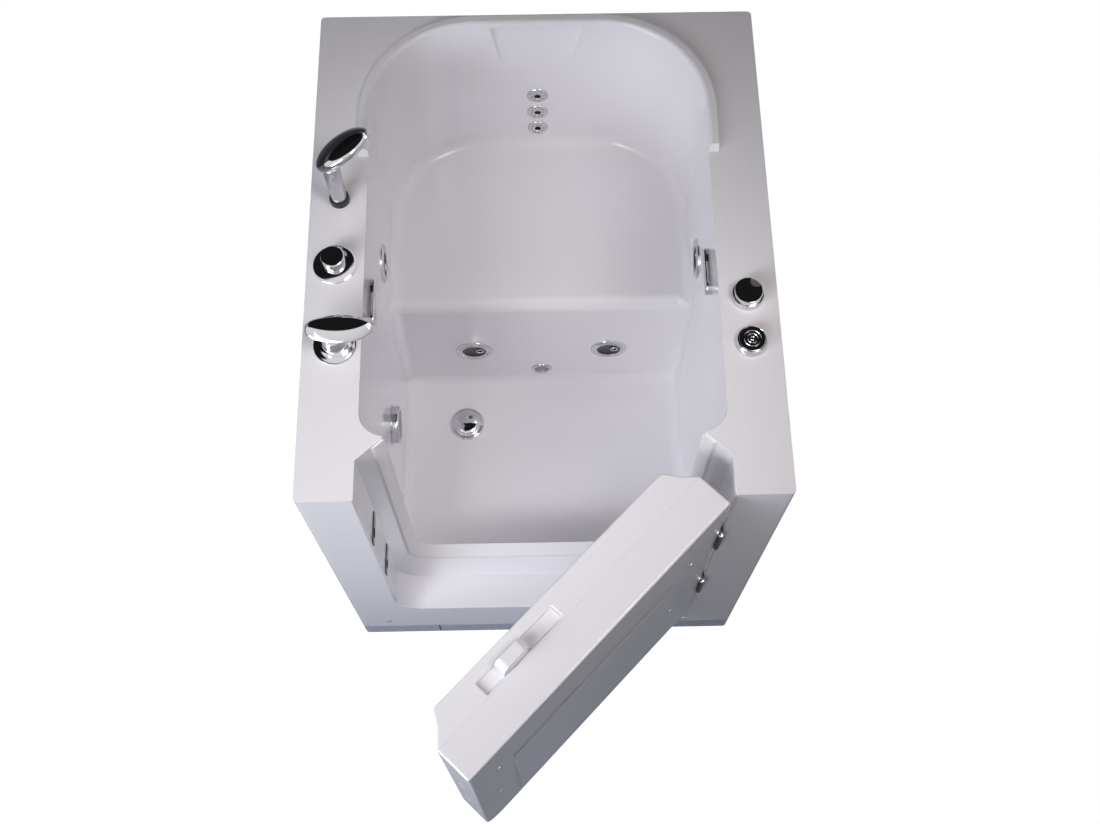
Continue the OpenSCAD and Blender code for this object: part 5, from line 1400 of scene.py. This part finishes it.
def mixed(tree, share, first, second):
    """The first level where the share is 0, and the second, a socket or a number, where it is 1."""
    return add_node(tree, "Mix", {"Factor": share, "A": first, "B": second}, "Result")


print("background rays:", MIRROR_RAYS)

# %% Floor
FLOOR_HALF, FLOOR_DOWN, FLOOR_ROUGHNESS = 22.0, 0.0005, 0.8
FLOOR_COLOUR, FLOOR_GLOW, FLOOR_MIRRORED = (0.26, 0.29, 0.35), 0.94, 0.10


def make_floor():
    nothing_selected()
    bpy.ops.mesh.primitive_plane_add(size=2 * FLOOR_HALF, location=(0, 0, -FLOOR_DOWN))
    floor = settled(named("studio_floor"))
    material, tree, shader = new_material("studio_floor", FLOOR_COLOUR, FLOOR_ROUGHNESS)
    fill(tree, shader, {"Specular IOR Level": 0.0, "Emission Color": (1.0, 1.0, 1.0, 1.0)})
    mirrored = spread(tree, ray_is(tree, *MIRROR_RAYS), 0.0, FLOOR_MIRRORED)
    glow = mixed(tree, ray_is(tree, "Is Camera Ray"), mirrored, FLOOR_GLOW)
    fill(tree, shader, {"Emission Strength": glow})
    coated(floor, material)


make_floor()
print("floor laid")

# %% Sky
CEILING_MIDDLE, CEILING_START, CEILING_END, CEILING_LEVEL = (-0.30, 0.60, 0.74), 0.60, 0.66, 0.012
WALLS_START, WALLS_LOW = -0.5, 0.45
SKY_MIDDLE, SKY_BRIGHT, SKY_DIM, SKY_TINT = (-0.50, 0.35, 0.79), 0.15, 0.04, (1.0, 0.97, 0.99, 1.0)


def make_sky():
    world = bpy.data.worlds.new("studio_sky")
    bpy.context.scene.world = world
    world.use_nodes = True
    tree = world.node_tree
    coords = add_node(tree, "TexCoord", {}, "Generated")

    def towards(direction):
        """1 where the sky is looked at in this direction, down to -1 on the opposite side."""
        return add_node(tree, "VectorMath", {0: coords, 1: direction}, "Value", operation="DOT_PRODUCT")

    ceiling = spread(tree, towards(CEILING_MIDDLE), 1.0, CEILING_LEVEL, CEILING_START, CEILING_END)
    walls = spread(tree, towards(CEILING_MIDDLE), WALLS_LOW, 1.0, WALLS_START, CEILING_START)
    shown = calculated(tree, "MULTIPLY", ceiling, walls)
    lit = spread(tree, towards(SKY_MIDDLE), SKY_DIM, SKY_BRIGHT, -1.0, 1.0)
    level = mixed(tree, ray_is(tree, *MIRROR_RAYS), lit, shown)
    level = mixed(tree, ray_is(tree, "Is Camera Ray"), level, 1.0)
    fill(tree, tree.nodes["Background"], {"Color": SKY_TINT, "Strength": level})


make_sky()
print("sky hung")

# %% Lamps
# Each row holds the name, the place, what the lamp looks at, its size, power, beam angle and colour.
LAMPS = (
    ("key", (-1.15, -1.75, 2.45), (-0.1, -0.3, 0.8), 1.1, 7.4, 180, (1.0, 0.95, 0.965)),
    ("left_window", (-2.1, -1.9, 1.8), (-0.1, -0.2, 0.6), 1.0, 12.2, 100, (0.84, 0.92, 1.0)),
    ("front_beam", (-1.05, -1.95, 2.30), (-0.20, -0.55, 0.85), 0.8, 1.5, 50, (1.0, 0.97, 0.98)),
    ("basin_beam", (0.9, -0.7, 2.7), (-0.3, -0.14, 0.42), 0.8, 1.75, 50, (1.0, 0.945, 0.93)),
    ("far_sides", (2.2, 2.6, 0.75), (0.25, 0.35, 0.45), 0.6, 5.0, 50, (1.0, 1.0, 1.0)),
)


def softbox(name, place, aim, size, power, beam, colour):
    """A square lamp whose light stays inside a beam, as with a grid in front of it."""
    light = bpy.data.lights.new(name, "AREA")
    light.shape = "SQUARE"
    light.size = size
    light.energy = power
    light.spread = math.radians(beam)
    light.color = colour
    lamp = bpy.data.objects.new(name, light)
    bpy.context.scene.collection.objects.link(lamp)
    lamp.location = place
    lamp.rotation_euler = (Vector(aim) - Vector(place)).to_track_quat("-Z", "Y").to_euler()


for lamp in LAMPS:
    softbox(*lamp)
bpy.context.scene.view_settings.view_transform = "Standard"
print("lamps placed:", len(LAMPS))
